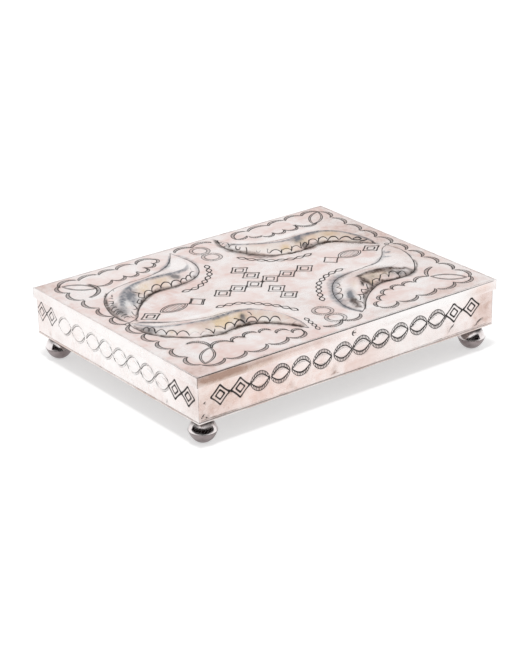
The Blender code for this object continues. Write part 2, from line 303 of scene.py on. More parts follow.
def from_picture(places):
    """Where lines of sight through picture points, in pixels from the top left, meet the lid."""
    turn, eye = camera_pose()
    across = (np.asarray(places, dtype=float) - picture_middle) / focal_pixels
    sight = across[:, :1] * turn[:, 0] - across[:, 1:] * turn[:, 1] - turn[:, 2]
    met = eye + (lid_top - eye[2]) / sight[:, 2:] * sight
    return on_leaf(met[:, :2] + (lid_length / 2, lid_width / 2 - middle_y))


def in_picture(points):
    """Where points of the object stand in the picture, in pixels from its top left."""
    turn, eye = camera_pose()
    seen = (points - eye) @ turn
    return picture_middle + focal_pixels * seen[:, :2] * (-1.0, 1.0) / seen[:, 2:]


# Strokes: a stroke is (points, half widths, depths, shades), all in millimetres but the shades


def stroke(points, cut, shade, taper=0.0):
    """One punched or chased line. cut is its half width and its depth.

    The half width falls by the share taper towards both ends, as the cube of the way from the middle.
    """
    points = np.asarray(points, dtype=float)
    half_width, depth = cut
    along = np.linspace(-1.0, 1.0, len(points))
    whole = np.ones(len(points))
    return points, half_width * (1.0 - taper * np.abs(along) ** 3), depth * whole, shade * whole


def tone_line(rows):
    """A soft line of painted shade and reflection through rows of (x, y, half width, strength), all read in
    picture pixels.

    The half width on the sheet is half the way between the two places where lines of sight on
    both sides of the line meet it, held to a band where one of them falls behind a leaf.
    """
    even = curve_through(rows, tone_steps * (len(rows) - 1) + 1)
    seen, half_seen, strength = even[:, :2], even[:, 2], even[:, 3]
    reach = sideways(seen) * np.maximum(half_seen, least_tone_seen)[:, None] * tone_spread
    across = from_picture(seen + reach) - from_picture(seen - reach)
    half = np.hypot(across[:, 0], across[:, 1]) / 2
    half = np.clip(half, tone_band[0] * half_seen, tone_band[1] * half_seen + 0.1)
    strength = np.clip(tone_strength * strength, 0.0, 1.0)
    return from_picture(seen), np.maximum(half, least_tone), np.zeros(len(even)), strength


def moved(strokes, shift):
    """The strokes, all moved by one shift."""
    return [(points + shift, widths, depths, shades) for points, widths, depths, shades in strokes]


def arc(start, top, end, count):
    """Circular arc from start through top to end, about the point that is as far from all three."""
    (ax, ay), (bx, by), (cx, cy) = start, top, end
    turn = 2 * (ax * (by - cy) + bx * (cy - ay) + cx * (ay - by))
    if abs(turn) < 1e-6:
        return np.linspace(start, end, count)
    a2, b2, c2 = ax * ax + ay * ay, bx * bx + by * by, cx * cx + cy * cy
    middle_u = (a2 * (by - cy) + b2 * (cy - ay) + c2 * (ay - by)) / turn
    middle_v = (a2 * (cx - bx) + b2 * (ax - cx) + c2 * (bx - ax)) / turn
    middle = np.array((middle_u, middle_v))
    angles = [math.atan2(y - middle[1], x - middle[0]) for x, y in (start, top, end)]
    full = 2 * math.pi
    to_top, to_end = ((angle - angles[0]) % full for angle in angles[1:])
    sweep = to_end if to_top <= to_end else to_end - full
    return circle_points(middle, math.dist(middle, start), angles[0] + sweep * np.linspace(0.0, 1.0, count))


def hump(start, top, end, count, power=0.9):
    """Arch whose ends run to a point: the line from start to end, lifted towards top by sine ** power."""
    start, top, end = np.array(start), np.array(top), np.array(end)
    at = np.linspace(0.0, 1.0, count)[:, None]
    return start + (end - start) * at + (top - (start + end) / 2) * np.abs(np.sin(math.pi * at)) ** power


def full_hump(start, top, end, count):
    """The same arch with fuller shoulders."""
    return hump(start, top, end, count, 0.66)


# Half width and depth of the lines that the punches and the chasing tool leave
crescent_outer_cut = (0.27, 0.13)
crescent_inner_cut = (0.33, 0.18)
crescent_foot_cut = (0.22, 0.1)
crescent_rib_depth = 0.12
ring_outer_cut = (0.25, 0.13)
ring_inner_cut = (0.25, 0.14)
ring_rib_cut = (0.15, 0.1)
loop_cut = (0.28, 0.16)
diamond_depth = 0.2
almond_cut = (0.33, 0.16)
almond_rib_cut = (0.18, 0.08)
chain_cuts = ((0.44, 0.2), (0.38, 0.16))
single_side_cut = (0.34, 0.16)
eye_cut = (0.16, 0.08)
hidden_arch_cut = (0.3, 0.16)
seen_arch_cut = (0.36, 0.16)
near_edge_cut = (0.42, 0.3)
far_edge_cut = (0.36, 0.22)

# How far the hand sets a punch off its mark, and turns it
crescent_slip = 0.08
diamond_slip = 0.1
diamond_twist = 0.02

arc_points = 13
ring_points = 29
ring_rib_pitch = 0.8


def crescent(
    start, top, end, band, weight=1.0, strong="both", outer_share=0.8, rib_pitch=0.85, tail=0.5,
    bend=arc, outer_bend=arc, end_band=0.5, rib_width=0.18,
):
    """Crescent punch: an outer and an inner arc with ribs between them.

    The arcs stand a band apart at their tops and the share end_band of it at their ends. A punch
    held askew bites at the strong end only: towards the other end the band and the marks die away
    evenly to the share tail.
    """
    marked = (start, top, end)
    start, top, end = (np.array(p, dtype=float) + chance.normal(0.0, crescent_slip, 2) for p in marked)
    inward = (start + end) / 2 - top
    inward /= max(np.linalg.norm(inward), 1e-6)
    pull = (end - start) * 0.03
    along = np.linspace(0.0, 1.0, arc_points)
    grip = {"both": np.ones(arc_points), "start": 1.0 - along, "end": along}[strong]
    grip = np.clip(tail + 0.95 * grip, 0.0, 1.0)
    outer = outer_bend(start, top, end, arc_points)
    at_ends = inward * band * end_band
    inner = bend(start + pull + at_ends, top + inward * band, end - pull + at_ends, arc_points)
    inner = outer + (inner - outer) * grip[:, None]
    lean = chance.uniform(0.8, 1.0, 2) * weight
    fade = 0.3 + tail
    inner_fade = fade * 0.7
    made = [
        stroke(outer, crescent_outer_cut, outer_share * lean[0] * (fade + (1.0 - fade) * grip), 0.2),
        stroke(inner, crescent_inner_cut, lean[1] * (inner_fade + (1.0 - inner_fade) * grip), 0.2),
    ]
    for k in (0, -1):
        if grip[k] > 0.5:
            made.append(stroke((outer[k], inner[k]), crescent_foot_cut, 0.6 * weight))
    length = np.linalg.norm(np.diff(outer, axis=0), axis=1).sum()
    count = max(4, int(length / rib_pitch))
    at = (np.arange(count) + 0.5) / count * (arc_points - 1)
    low = at.astype(int)
    part = (at - low)[:, None]
    out_ends, in_ends = (line[low] * (1 - part) + line[low + 1] * part for line in (outer, inner))
    for a, b, hold in zip(out_ends, in_ends, np.interp(at, np.arange(arc_points), grip)):
        if hold > 0.35:
            rib_end = b * 0.9 + a * 0.1
            made.append(stroke((a, rib_end), (rib_width, crescent_rib_depth), 0.95 * weight * hold))
    return made


def ring(middle, radius, band):
    """Round punch: two circles with ribs between them."""
    turn = np.linspace(0.0, 2 * math.pi, ring_points)
    made = [
        stroke(circle_points(middle, radius, turn), ring_outer_cut, 0.62),
        stroke(circle_points(middle, radius - band, turn), ring_inner_cut, 0.72),
    ]
    count = int(2 * math.pi * radius / ring_rib_pitch)
    for angle in (np.arange(count) + 0.5) * 2 * math.pi / count:
        along = np.array((math.cos(angle), math.sin(angle)))
        ends = (middle + along * radius, middle + along * (radius - band * 0.85))
        made.append(stroke(ends, ring_rib_cut, 0.5))
    return made


def loop(middle, radius):
    """Small plain circle."""
    turn = np.linspace(0.0, 2 * math.pi, arc_points)
    return [stroke(circle_points(middle, radius, turn), loop_cut, 0.95)]


def diamond(middle, width, height, weight, line, inner, turn=0.0, weak_pair=1.0, uneven=0.12):
    """Diamond punch with slightly hollow sides, struck a little askew, and a smaller one inside it.

    line is the half width of its lines and inner the smaller one's share, 0 for none.
    """
    middle = np.array(middle) + chance.normal(0.0, diamond_slip, 2)
    turn = turn + chance.normal(0.0, diamond_twist)
    spin = np.array(((math.cos(turn), math.sin(turn)), (-math.sin(turn), math.cos(turn))))
    lean = chance.uniform(0.0, 2 * math.pi)
    made = []
    for share in (1.0, inner) if inner else (1.0,):
        corners = np.array(((0, 0.5), (0.5, 0), (0, -0.5), (-0.5, 0), (0, 0.5))) * (width, height) * share
        hollow = 0.94 if share == 1.0 else 1.0
        for number, (a, b) in enumerate(zip(corners, corners[1:])):
            half = (a + b) / 2 * hollow
            side = np.array((a, (a + half) / 2 * 0.985, half, (half + b) / 2 * 0.985, b)) @ spin + middle
            pair = weak_pair if number % 2 == 0 else 1.0
            force = weight * pair * (1.0 - uneven + uneven * math.cos(lean + number * math.pi / 2))
            made.append(stroke(side, (line * (0.6 + 0.4 * pair), diamond_depth * force), force))
    return made


def almond(start, end, width, ribs=0):
    """Pointed oval of two arcs, each doubled, with cross ribs if asked."""
    start, end = np.array(start, dtype=float), np.array(end, dtype=float)
    middle = (start + end) / 2
    along = (end - start) / math.dist(start, end)
    side = np.array((-along[1], along[0])) * width / 2
    half_width, depth = almond_cut
    made = []
    for share, force in ((1.0, 0.85), (0.76, 0.55)):
        tip = along * (1 - share) * width * 0.6
        for sign in (-1, 1):
            line = arc(start + tip, middle + side * sign * share, end - tip, arc_points)
            made.append(stroke(line, (half_width, depth * force), min(1.0, force * 1.25), 0.3))
    for number in range(ribs):
        place = (number + 1) / (ribs + 1) * 2 - 1
        reach = side * 0.72 * (1 - place**2)
        centre = middle + (end - start) / 2 * place * 0.9
        made.append(stroke((centre - reach, centre + reach), almond_rib_cut, 0.6))
    return made


def chain(points, pitch=4.3, swing=1.15, weight=1.0):
    """Row of small linked waves: two strands that cross, each stronger on one side."""
    rough = curve_through(points, 200)
    travelled = lengths_along(rough)
    count = max(2, int(round(travelled[-1] / pitch)))
    line = read_at(np.linspace(0.0, travelled[-1], count * 8 + 1), travelled, rough)
    wave = sideways(line) * np.sin(np.linspace(0.0, count * math.pi, len(line)))[:, None] * swing
    return [stroke(line + wave, chain_cuts[0], weight), stroke(line - wave, chain_cuts[1], 0.9 * weight)]


def leaf_arches(edge, other):
    """Row of round-topped arches with pointed feet along one edge inside a leaf.

    They are chased only where the camera can't see them: the ones that it sees follow the photograph.
    """
    travelled = lengths_along(edge)
    width = np.hypot(*(edge - other).T)
    side = sideways(edge)
    inward = side * np.sign(((other - edge)[20:40] * side[20:40]).sum())
    made = []
    place = 2.5
    while place < travelled[-1] - 3.0:
        breadth = np.interp(place, travelled, width)
        pitch = 2.0 + 3.0 * min(1.0, breadth / 14.0)
        height = 0.6 + 2.0 * min(1.0, breadth / 15.0)
        share = np.linspace(0.0, 1.0, 9)
        at = place + share * pitch
        tilt = chance.normal(0.0, 0.08)
        lift = 0.95 + (height + chance.normal(0.0, 0.2)) * np.abs(np.sin(share * math.pi)) ** 0.65
        lift = lift + tilt * (share - 0.5) * height
        line = read_at(at, travelled, edge) + read_at(at, travelled, inward) * lift[:, None]
        force = 0.9 * chance.uniform(0.7, 1.0)
        sight_line = line + leaf_rise(line)[:, None] * sight_lean
        hidden = np.hypot(*(on_leaf(sight_line) - line).T).mean() > 0.8
        if hidden:
            made.append(stroke(line, hidden_arch_cut, force, 0.2))
        place += pitch
    return made


def seen_arch(row):
    """A chased arch of a leaf, its three points read in picture pixels."""
    line = arc(row[0:2], row[2:4], row[4:6], 11)
    return stroke(from_picture(line), seen_arch_cut, 0.9 * row[6], 0.15)


# What is punched into the lid and walls, in millimetres on them
oval_row = (29.2, 39.6, 50.2, 60.6, 71.4, 81.4, 91.6, 102.0, 112.6, 122.8)
lid_shift = np.array((-0.35, -0.6))
long_wall_shift = (1.85, -0.5)
short_wall_shift = (-1.6, -0.55)

# Crescents in rows round the lid: the end at which each row's punch bit, then u and v of start, top and end
scallops = {
    "end": (
        (8.6, 10.0, 5.0, 14.7, 8.6, 19.5), (8.6, 20.0, 5.2, 24.8, 8.7, 29.5),
        (8.7, 30.0, 5.5, 34.5, 8.8, 39.2), (8.8, 40.0, 5.4, 44.5, 8.9, 49.0),
        (8.9, 50.3, 5.2, 55.5, 9.2, 60.3), (9.0, 62.2, 4.8, 67.0, 8.9, 71.6),
        (8.8, 72.5, 5.4, 77.8, 8.9, 83.0), (8.9, 84.0, 5.6, 89.0, 8.8, 94.0),
        (8.7, 95.5, 5.4, 100.7, 8.6, 105.8), (8.5, 106.0, 5.6, 110.5, 9.3, 114.6),
        (9.0, 9.2, 14.0, 5.3, 20.0, 8.4), (20.5, 8.4, 25.7, 5.0, 30.6, 8.7),
        (31.0, 8.6, 36.2, 5.0, 41.5, 8.9), (42.0, 8.7, 47.2, 5.2, 52.0, 8.9),
        (52.3, 8.4, 57.3, 5.3, 61.2, 10.2), (101.0, 9.4, 105.2, 5.3, 110.7, 9.0),
        (111.3, 9.0, 116.2, 5.4, 121.4, 8.7), (121.9, 8.5, 127.1, 5.7, 132.3, 9.0),
        (132.8, 8.7, 138.2, 5.5, 143.4, 9.6), (143.6, 9.2, 149.0, 5.8, 153.4, 10.0),
    ),
    "start": (
        (153.0, 10.5, 156.4, 15.5, 153.2, 20.4), (153.2, 21.2, 156.2, 25.8, 153.0, 30.3),
        (153.0, 31.0, 156.0, 35.7, 152.9, 40.2), (152.9, 41.0, 156.2, 45.7, 153.0, 50.4),
        (153.0, 51.8, 156.2, 56.5, 153.0, 61.2), (153.0, 62.4, 156.4, 67.2, 153.0, 72.0),
        (153.0, 72.8, 156.2, 77.9, 153.0, 83.0), (153.0, 83.8, 156.0, 88.5, 153.0, 93.4),
        (153.0, 94.4, 156.0, 99.4, 153.2, 104.4), (153.3, 105.2, 156.4, 110.2, 153.6, 114.4),
        (9.0, 113.6, 13.6, 118.4, 19.2, 116.2), (20.0, 115.4, 25.0, 118.2, 29.4, 116.0),
        (30.4, 115.2, 34.9, 117.8, 39.0, 115.6), (39.5, 115.3, 43.4, 118.2, 48.0, 116.4),
        (49.8, 114.8, 54.6, 118.2, 59.2, 114.6), (101.6, 111.4, 104.4, 117.0, 111.2, 116.4),
        (112.0, 115.8, 118.2, 118.6, 123.4, 115.8), (123.9, 115.7, 128.6, 118.5, 133.5, 116.4),
        (134.0, 116.0, 138.7, 119.0, 143.2, 116.2), (143.5, 116.0, 148.4, 118.6, 153.4, 114.6),
    ),
    "both": (
        (70.0, 8.4, 75.6, 5.2, 80.0, 8.4), (80.3, 8.3, 85.2, 5.0, 90.2, 8.6),
        (71.0, 115.6, 75.8, 118.4, 80.4, 115.8), (80.5, 115.8, 85.6, 118.4, 91.0, 115.2),
        (17.0, 30.4, 22.6, 28.2, 22.6, 22.2), (21.4, 108.0, 21.2, 99.6, 13.6, 95.4),
        (139.0, 22.6, 141.6, 27.4, 147.4, 29.6), (133.2, 107.4, 136.4, 102.8, 143.4, 103.6),
    ),
}
small_bows = {
    "start": (
        (22.2, 20.8, 26.8, 24.4, 31.8, 20.4), (32.0, 20.2, 35.0, 23.4, 38.4, 20.8),
        (38.5, 21.0, 41.8, 24.2, 45.2, 21.6), (45.8, 20.6, 48.8, 22.6, 51.2, 19.6),
        (51.0, 15.8, 53.4, 18.0, 56.6, 15.0), (56.2, 12.0, 58.3, 14.3, 61.2, 10.8),
        (100.5, 10.6, 101.0, 13.6, 104.4, 14.6), (105.8, 14.8, 106.8, 18.2, 110.4, 18.4),
        (110.8, 18.2, 112.6, 22.4, 116.6, 22.2), (117.6, 20.6, 120.8, 24.2, 124.0, 21.6),
        (124.0, 20.8, 127.0, 24.0, 130.0, 21.2), (130.4, 20.8, 134.2, 24.4, 138.8, 22.6),
    ),
    "end": (
        (22.6, 104.2, 26.8, 102.2, 31.2, 105.2), (31.6, 106.0, 35.8, 102.8, 38.4, 106.6),
        (38.6, 105.8, 42.2, 102.6, 45.0, 106.2), (45.4, 106.4, 48.8, 103.8, 50.4, 108.4),
        (50.6, 109.0, 53.6, 106.6, 56.0, 110.8), (56.4, 110.4, 59.8, 110.6, 59.8, 114.6),
        (101.6, 111.2, 104.6, 108.6, 108.4, 110.4), (108.6, 109.8, 110.4, 106.2, 113.8, 106.4),
        (113.8, 106.2, 116.4, 103.2, 119.8, 106.2), (120.0, 106.0, 123.0, 102.8, 126.2, 106.4),
        (126.4, 106.0, 129.6, 102.6, 133.2, 107.0),
    ),
}
centre_diamonds = (
    (59.4, 63.2), (67.6, 63.4), (76.2, 63.0), (85.0, 63.4), (94.2, 63.4), (103.8, 63.4), (80.6, 79.7),
    (80.9, 71.8), (80.5, 53.2), (80.3, 44.6),
)
chain_lines = (
    (
        (47.0, 75.6), (54.0, 75.3), (58.2, 77.0), (62.2, 79.6), (66.2, 82.6), (69.2, 86.2), (71.2, 90.0),
        (73.0, 94.0),
    ),
    (
        (48.0, 52.6), (53.0, 52.0), (58.0, 50.4), (62.2, 46.8), (66.2, 42.0), (69.2, 37.0), (71.4, 32.2),
        (72.6, 28.4),
    ),
    (
        (89.0, 92.4), (91.4, 88.2), (94.0, 84.6), (97.0, 81.2), (100.4, 78.6), (106.6, 75.8), (112.0, 75.0),
        (117.2, 75.2),
    ),
    (
        (87.0, 29.6), (89.2, 34.0), (91.6, 38.0), (94.2, 41.6), (97.2, 45.2), (100.6, 47.8), (108.0, 51.4),
        (116.4, 52.4),
    ),
)
short_chain = ((66.8, 7.2), (68.4, 13.6), (69.8, 20.4))
corner_almonds = (
    ((10.6, 9.4), (21.8, 21.2)), ((151.4, 10.6), (139.8, 21.2)),
    ((10.4, 113.4), (21.2, 102.2)), ((153.0, 115.0), (141.0, 103.2)),
)
ring_places = ((80.8, 109.4), (80.8, 100.2), (80.2, 21.6), (79.8, 12.6))
loop_places = ((9.3, 61.6), (150.6, 62.8))

# Sizes of the lid's punches
scallop_band = 1.6
small_bow_band = 1.35
ring_radius = 4.7
ring_band = 1.5
loop_radius = 1.0
corner_almond_width = 6.2
short_chain_pitch = 3.4
short_chain_swing = 0.9
centre_punch = {"width": 9.6, "height": 9.0, "weight": 0.8, "line": 0.5, "inner": 0.52, "turn": 0.05}

# On the lid's middle line, from the left: diamonds as middle, width, height, shade, half width of
# the lines and share of the inner one, and ribbed almonds as start, end, width and ribs
left_end_diamond = ((21.4, 62.4), 9.6, 8.2, 0.9, 0.5, 0.5)
left_almond = ((27.0, 63.3), (41.2, 63.6), 7.2, 11)
left_plain_diamond = ((45.6, 63.0), 8.4, 8.6, 0.95, 0.44, 0.0)
right_plain_diamond = ((119.4, 63.8), 8.2, 8.2, 0.95, 0.44, 0.0)
right_almond = ((123.6, 64.0), (136.4, 64.2), 7.6, 9)
right_end_diamond = ((141.6, 63.2), 9.6, 8.0, 0.9, 0.48, 0.5)
weak_side_pair = 0.85

# Sizes of the walls' ovals, and of the line round the space in their middle
oval_width = 9.9
oval_height = 8.4
oval_part = 0.4
oval_punch = {
    "band": 1.55, "outer_share": 0.6, "rib_pitch": 1.05, "bend": hump, "outer_bend": full_hump,
    "end_band": 0.3, "rib_width": 0.23,
}
eye_inset = 0.6
eye_part = 0.1
eye_fall = 2.1

# Diamonds of the walls: middles of a pair at each end, and the punch. The short walls' far end comes first
long_wall_diamonds = ((8.7, 9.5), (18.7, 9.8), (132.5, 10.9), (142.5, 10.9))
long_wall_punch = {"width": 9.3, "height": 8.7, "weight": 0.78, "line": 0.6, "inner": 0.48}
far_wall_diamonds = ((5.0, 10.7), (12.8, 10.8))
far_wall_punch = {"width": 8.0, "height": 8.8, "weight": 0.78, "line": 0.4, "inner": 0.48, "uneven": 0.2}
near_wall_diamonds = ((103.8, 9.4), (112.6, 9.4))
near_wall_punch = {"width": 9.0, "height": 8.6, "weight": 0.72, "line": 0.64, "inner": 0.48}
short_oval_row = (23.2, 33.6, 44.6, 54.4, 64.8, 74.4, 84.6, 94.8)
short_oval_level = 9.6
short_oval_weight = 0.74

# Nicks and scratches of the long walls: lines, their cut, shade and taper
nicks = (((3.0, 7.8), 0.5), ((2.2, 2.6), 0.3), ((3.6, 1.2), 0.25), ((1.4, 1.6), 0.3))
nick_run = (0.2, 0.1)
nick_cut = (0.32, 0.2)
right_scratch = (((147.4, 1.2), (149.2, 3.0), (151.2, 3.4), 9), (0.4, 0.25), 0.35)
small_scratch = (((132.0, 2.2), (133.0, 4.0), (134.4, 4.8), 7), (0.35, 0.2), 0.3)
foot_lines = (
    (((1.0, 0.5), (9.0, 0.45), (18.0, 0.4)), 0.4, 0.3),
    (((17.0, 0.4), (34.0, 0.35), (52.0, 0.35)), 0.34, 0.22),
    (((52.0, 0.35), (80.0, 0.3), (112.0, 0.3)), 0.3, 0.16),
    (((112.0, 0.3), (134.0, 0.35), (154.0, 0.4)), 0.36, 0.3),
)
short_wall_nick = (((96.0, 0.8), (96.4, 1.8)), (0.5, 0.1), 0.3)


# Arches chased on the leaves, in picture pixels: x and y of start, top and end, then strength
seen_arches = (
    (143.5, 330.4, 146.5, 327.2, 149.0, 331.4, 0.7), (149.0, 331.6, 152.0, 327.6, 155.0, 332.0, 0.7),
    (154.4, 328.6, 154.8, 330.8, 155.6, 333.2, 0.9), (156.0, 333.0, 158.8, 330.4, 162.4, 329.4, 0.8),
    (163.0, 329.6, 164.8, 331.2, 166.2, 333.4, 0.7), (166.3, 334.6, 171.8, 330.2, 177.0, 333.6, 1.0),
    (177.0, 335.2, 183.4, 330.8, 189.4, 335.4, 0.85), (190.4, 334.4, 196.0, 331.8, 200.6, 334.6, 0.3),
    (200.8, 334.8, 201.6, 333.2, 203.6, 331.4, 0.45), (207.4, 329.0, 210.8, 330.4, 213.6, 333.2, 0.95),
    (213.6, 333.2, 214.4, 331.4, 215.0, 329.4, 0.8), (217.0, 326.3, 221.4, 326.8, 225.0, 329.2, 0.6),
    (225.3, 329.4, 225.4, 326.4, 226.2, 323.8, 1.0), (226.2, 323.8, 229.8, 322.4, 234.4, 325.4, 1.0),
    (234.6, 326.2, 237.0, 321.4, 240.6, 319.4, 1.0), (234.4, 318.4, 239.2, 319.6, 244.4, 322.6, 0.9),
    (240.6, 319.4, 243.4, 321.0, 245.2, 324.2, 0.9), (248.4, 312.0, 250.0, 313.0, 251.6, 314.8, 0.75),
    (246.4, 321.6, 251.4, 316.8, 257.4, 321.6, 1.0), (248.8, 322.6, 252.8, 321.4, 256.6, 322.4, 0.6),
    (258.4, 320.2, 262.8, 316.4, 269.6, 321.6, 0.75), (270.4, 320.6, 274.6, 316.4, 280.2, 320.2, 0.75),
    (281.0, 321.4, 284.6, 319.6, 290.0, 318.0, 0.3), (293.0, 323.0, 294.0, 322.2, 295.4, 321.8, 0.4),
    (181.6, 283.6, 182.4, 278.8, 186.2, 279.4, 0.9), (186.9, 280.4, 187.4, 275.8, 191.0, 276.2, 0.85),
    (191.0, 277.0, 190.8, 272.6, 194.2, 271.6, 0.8), (190.4, 268.0, 190.8, 269.4, 191.6, 270.6, 0.4),
    (171.6, 286.2, 171.6, 283.6, 172.8, 281.4, 0.95), (172.8, 281.4, 176.2, 280.2, 181.2, 282.8, 0.95),
    (161.0, 288.2, 165.8, 282.2, 171.2, 285.2, 0.9), (152.3, 291.6, 155.2, 285.0, 161.4, 287.6, 0.85),
    (144.4, 297.2, 144.5, 294.0, 145.4, 291.6, 0.9), (145.4, 291.6, 148.6, 290.4, 152.2, 291.6, 0.9),
    (139.0, 297.2, 141.8, 297.8, 144.8, 297.4, 0.95), (139.0, 297.2, 138.8, 295.2, 139.6, 293.2, 0.8),
    (133.0, 292.0, 136.4, 292.6, 139.8, 293.6, 0.75), (137.4, 302.2, 139.4, 303.6, 141.2, 300.0, 0.95),
    (139.2, 299.4, 138.0, 300.8, 137.0, 302.6, 0.85), (134.4, 305.4, 136.0, 306.8, 137.2, 308.6, 0.95),
    (137.2, 308.6, 135.8, 309.2, 134.2, 309.4, 0.85), (132.0, 312.0, 133.6, 314.2, 135.8, 316.0, 0.7),
    (131.0, 316.0, 133.0, 317.4, 135.2, 318.0, 0.6), (109.0, 301.4, 111.2, 301.6, 113.4, 301.4, 0.85),
    (113.4, 301.4, 113.6, 302.4, 113.4, 304.0, 0.7), (110.8, 306.2, 112.0, 305.4, 113.4, 305.4, 0.75),
    (111.6, 310.4, 113.4, 308.0, 117.0, 307.2, 0.8), (112.0, 295.4, 112.2, 296.0, 112.4, 296.8, 0.9),
    (113.0, 290.2, 113.4, 290.6, 114.0, 291.0, 0.6), (114.0, 312.6, 116.4, 310.0, 119.4, 309.6, 0.8),
    (117.8, 315.0, 120.0, 312.6, 122.8, 312.2, 0.8), (121.6, 316.6, 124.2, 314.8, 127.2, 314.8, 0.75),
    (217.4, 240.4, 218.6, 242.6, 221.6, 242.6, 0.95), (222.0, 244.6, 226.6, 242.8, 229.0, 247.4, 0.7),
    (224.0, 246.6, 225.4, 246.0, 227.2, 246.2, 0.9), (229.0, 247.2, 231.6, 245.0, 235.0, 244.6, 0.6),
    (236.4, 246.0, 237.0, 249.6, 240.2, 247.4, 0.9), (246.3, 248.0, 246.8, 249.8, 246.8, 251.6, 0.8),
    (256.4, 251.0, 258.0, 252.4, 260.2, 250.4, 0.4), (267.4, 250.4, 268.8, 253.0, 271.0, 251.4, 0.55),
    (270.4, 252.4, 275.6, 249.8, 281.4, 252.8, 0.9), (281.3, 250.4, 281.6, 251.6, 281.5, 253.2, 1.0),
    (282.0, 250.4, 286.2, 248.6, 291.3, 250.2, 0.65), (291.6, 247.4, 291.7, 249.2, 291.4, 251.2, 1.0),
    (291.6, 248.2, 295.6, 245.8, 300.4, 248.0, 0.65), (300.4, 243.4, 300.8, 246.0, 301.4, 248.2, 0.95),
    (303.0, 246.6, 303.2, 243.8, 305.6, 242.6, 0.9), (305.6, 242.6, 306.8, 244.2, 306.2, 246.6, 0.9),
    (308.6, 240.4, 308.6, 242.8, 308.0, 245.2, 0.95), (308.6, 241.2, 312.6, 239.2, 317.2, 241.2, 0.75),
    (318.3, 238.4, 318.4, 240.0, 318.0, 241.8, 1.0), (318.4, 239.6, 322.2, 237.2, 327.2, 239.4, 0.8),
    (328.0, 240.2, 333.0, 236.6, 338.2, 239.6, 0.95), (339.4, 239.6, 344.2, 236.8, 351.6, 239.6, 0.95),
    (352.4, 239.3, 356.2, 237.6, 361.2, 239.0, 1.0), (352.4, 239.3, 357.0, 240.0, 361.2, 239.0, 0.9),
    (360.2, 240.6, 363.0, 240.6, 366.2, 240.0, 0.95), (366.0, 238.2, 369.6, 239.4, 373.2, 243.0, 0.8),
    (360.0, 281.4, 362.2, 282.8, 363.0, 285.4, 1.0), (366.5, 284.0, 366.8, 286.0, 367.6, 288.2, 1.0),
    (372.0, 280.0, 372.4, 282.6, 372.2, 285.6, 1.0), (373.0, 280.2, 376.0, 278.6, 379.2, 279.2, 0.8),
    (379.9, 275.0, 379.9, 277.2, 379.2, 279.6, 1.0), (380.0, 275.4, 383.6, 273.4, 388.0, 276.0, 0.5),
    (388.5, 272.2, 388.7, 274.4, 388.5, 276.8, 0.95), (388.8, 272.6, 392.8, 271.2, 396.6, 273.6, 0.85),
    (398.0, 274.2, 401.4, 271.0, 405.2, 273.2, 0.85), (397.4, 272.8, 398.0, 274.4, 399.2, 275.6, 0.9),
    (361.4, 289.2, 363.8, 289.6, 366.2, 289.4, 1.0), (361.3, 289.2, 361.4, 291.0, 362.6, 292.6, 1.0),
    (358.4, 294.6, 360.6, 294.4, 363.2, 294.0, 1.0), (359.0, 295.2, 360.6, 297.0, 360.4, 299.2, 0.9),
    (363.4, 294.0, 363.8, 296.0, 363.0, 298.2, 0.8), (359.4, 301.2, 361.2, 301.6, 363.0, 303.2, 0.7),
    (337.4, 283.2, 339.2, 284.2, 340.0, 285.6, 0.6), (336.4, 287.4, 338.6, 287.8, 341.0, 288.6, 0.75),
    (341.0, 288.6, 341.2, 290.0, 340.4, 291.6, 0.65), (336.4, 294.0, 339.0, 293.6, 342.2, 294.2, 0.85),
    (342.2, 294.2, 342.6, 296.0, 341.8, 297.8, 0.8), (341.8, 297.8, 340.0, 299.2, 338.0, 300.0, 0.8),
    (340.0, 285.6, 338.4, 286.6, 336.4, 287.4, 0.7), (340.4, 291.6, 338.6, 293.0, 336.4, 294.0, 0.75),
    (109.0, 298.4, 111.0, 298.2, 113.0, 298.8, 0.7), (109.6, 304.0, 111.4, 303.2, 113.4, 304.0, 0.7),
    (116.6, 313.6, 118.4, 311.6, 121.4, 311.4, 0.7), (124.6, 318.0, 127.0, 316.6, 130.0, 317.2, 0.7),
)


def lid_strokes():
    """Everything punched and chased on the lid."""
    made = []
    for band, rows_by_end in ((scallop_band, scallops), (small_bow_band, small_bows)):
        for strong, rows in rows_by_end.items():
            for row in rows:
                made += crescent(row[0:2], row[2:4], row[4:6], band, strong=strong)
    for start, end in corner_almonds:
        made += almond(start, end, corner_almond_width)
    for place in centre_diamonds:
        made += diamond(place, **centre_punch, weak_pair=0.92)
    made += diamond(*left_end_diamond, weak_pair=weak_side_pair)
    made += diamond(*left_plain_diamond, weak_pair=weak_side_pair)
    for ends in (((-0.5, 0), (0, 0.5)), ((0, -0.5), (0.5, 0))):
        middle, width, height = left_plain_diamond[:3]
        made.append(stroke(np.array(ends) * (width, height) * 0.74 + middle, single_side_cut, 0.85))
    made += almond(*left_almond)
    made += diamond(*right_plain_diamond, weak_pair=weak_side_pair)
    made += almond(*right_almond)
    made += diamond(*right_end_diamond, weak_pair=weak_side_pair)
    for middle in ring_places:
        made += ring(middle, ring_radius, ring_band)
    for points in chain_lines:
        made += chain(points)
    made += chain(short_chain, short_chain_pitch, short_chain_swing, 0.75)
    for middle in loop_places:
        made += loop(middle, loop_radius)
    made = moved(made, lid_shift)
    for name in leaf_tables:
        outer, inner = leaf_lines(name)[:2]
        near, far = (outer, inner) if name.startswith("front") else (inner, outer)
        made.append(stroke(near, near_edge_cut, 0.62, 0.35))
        made.append(stroke(far, far_edge_cut, 0.6, 0.3))
        made += leaf_arches(far, near)
    made += [seen_arch(row) for row in seen_arches]
    return made


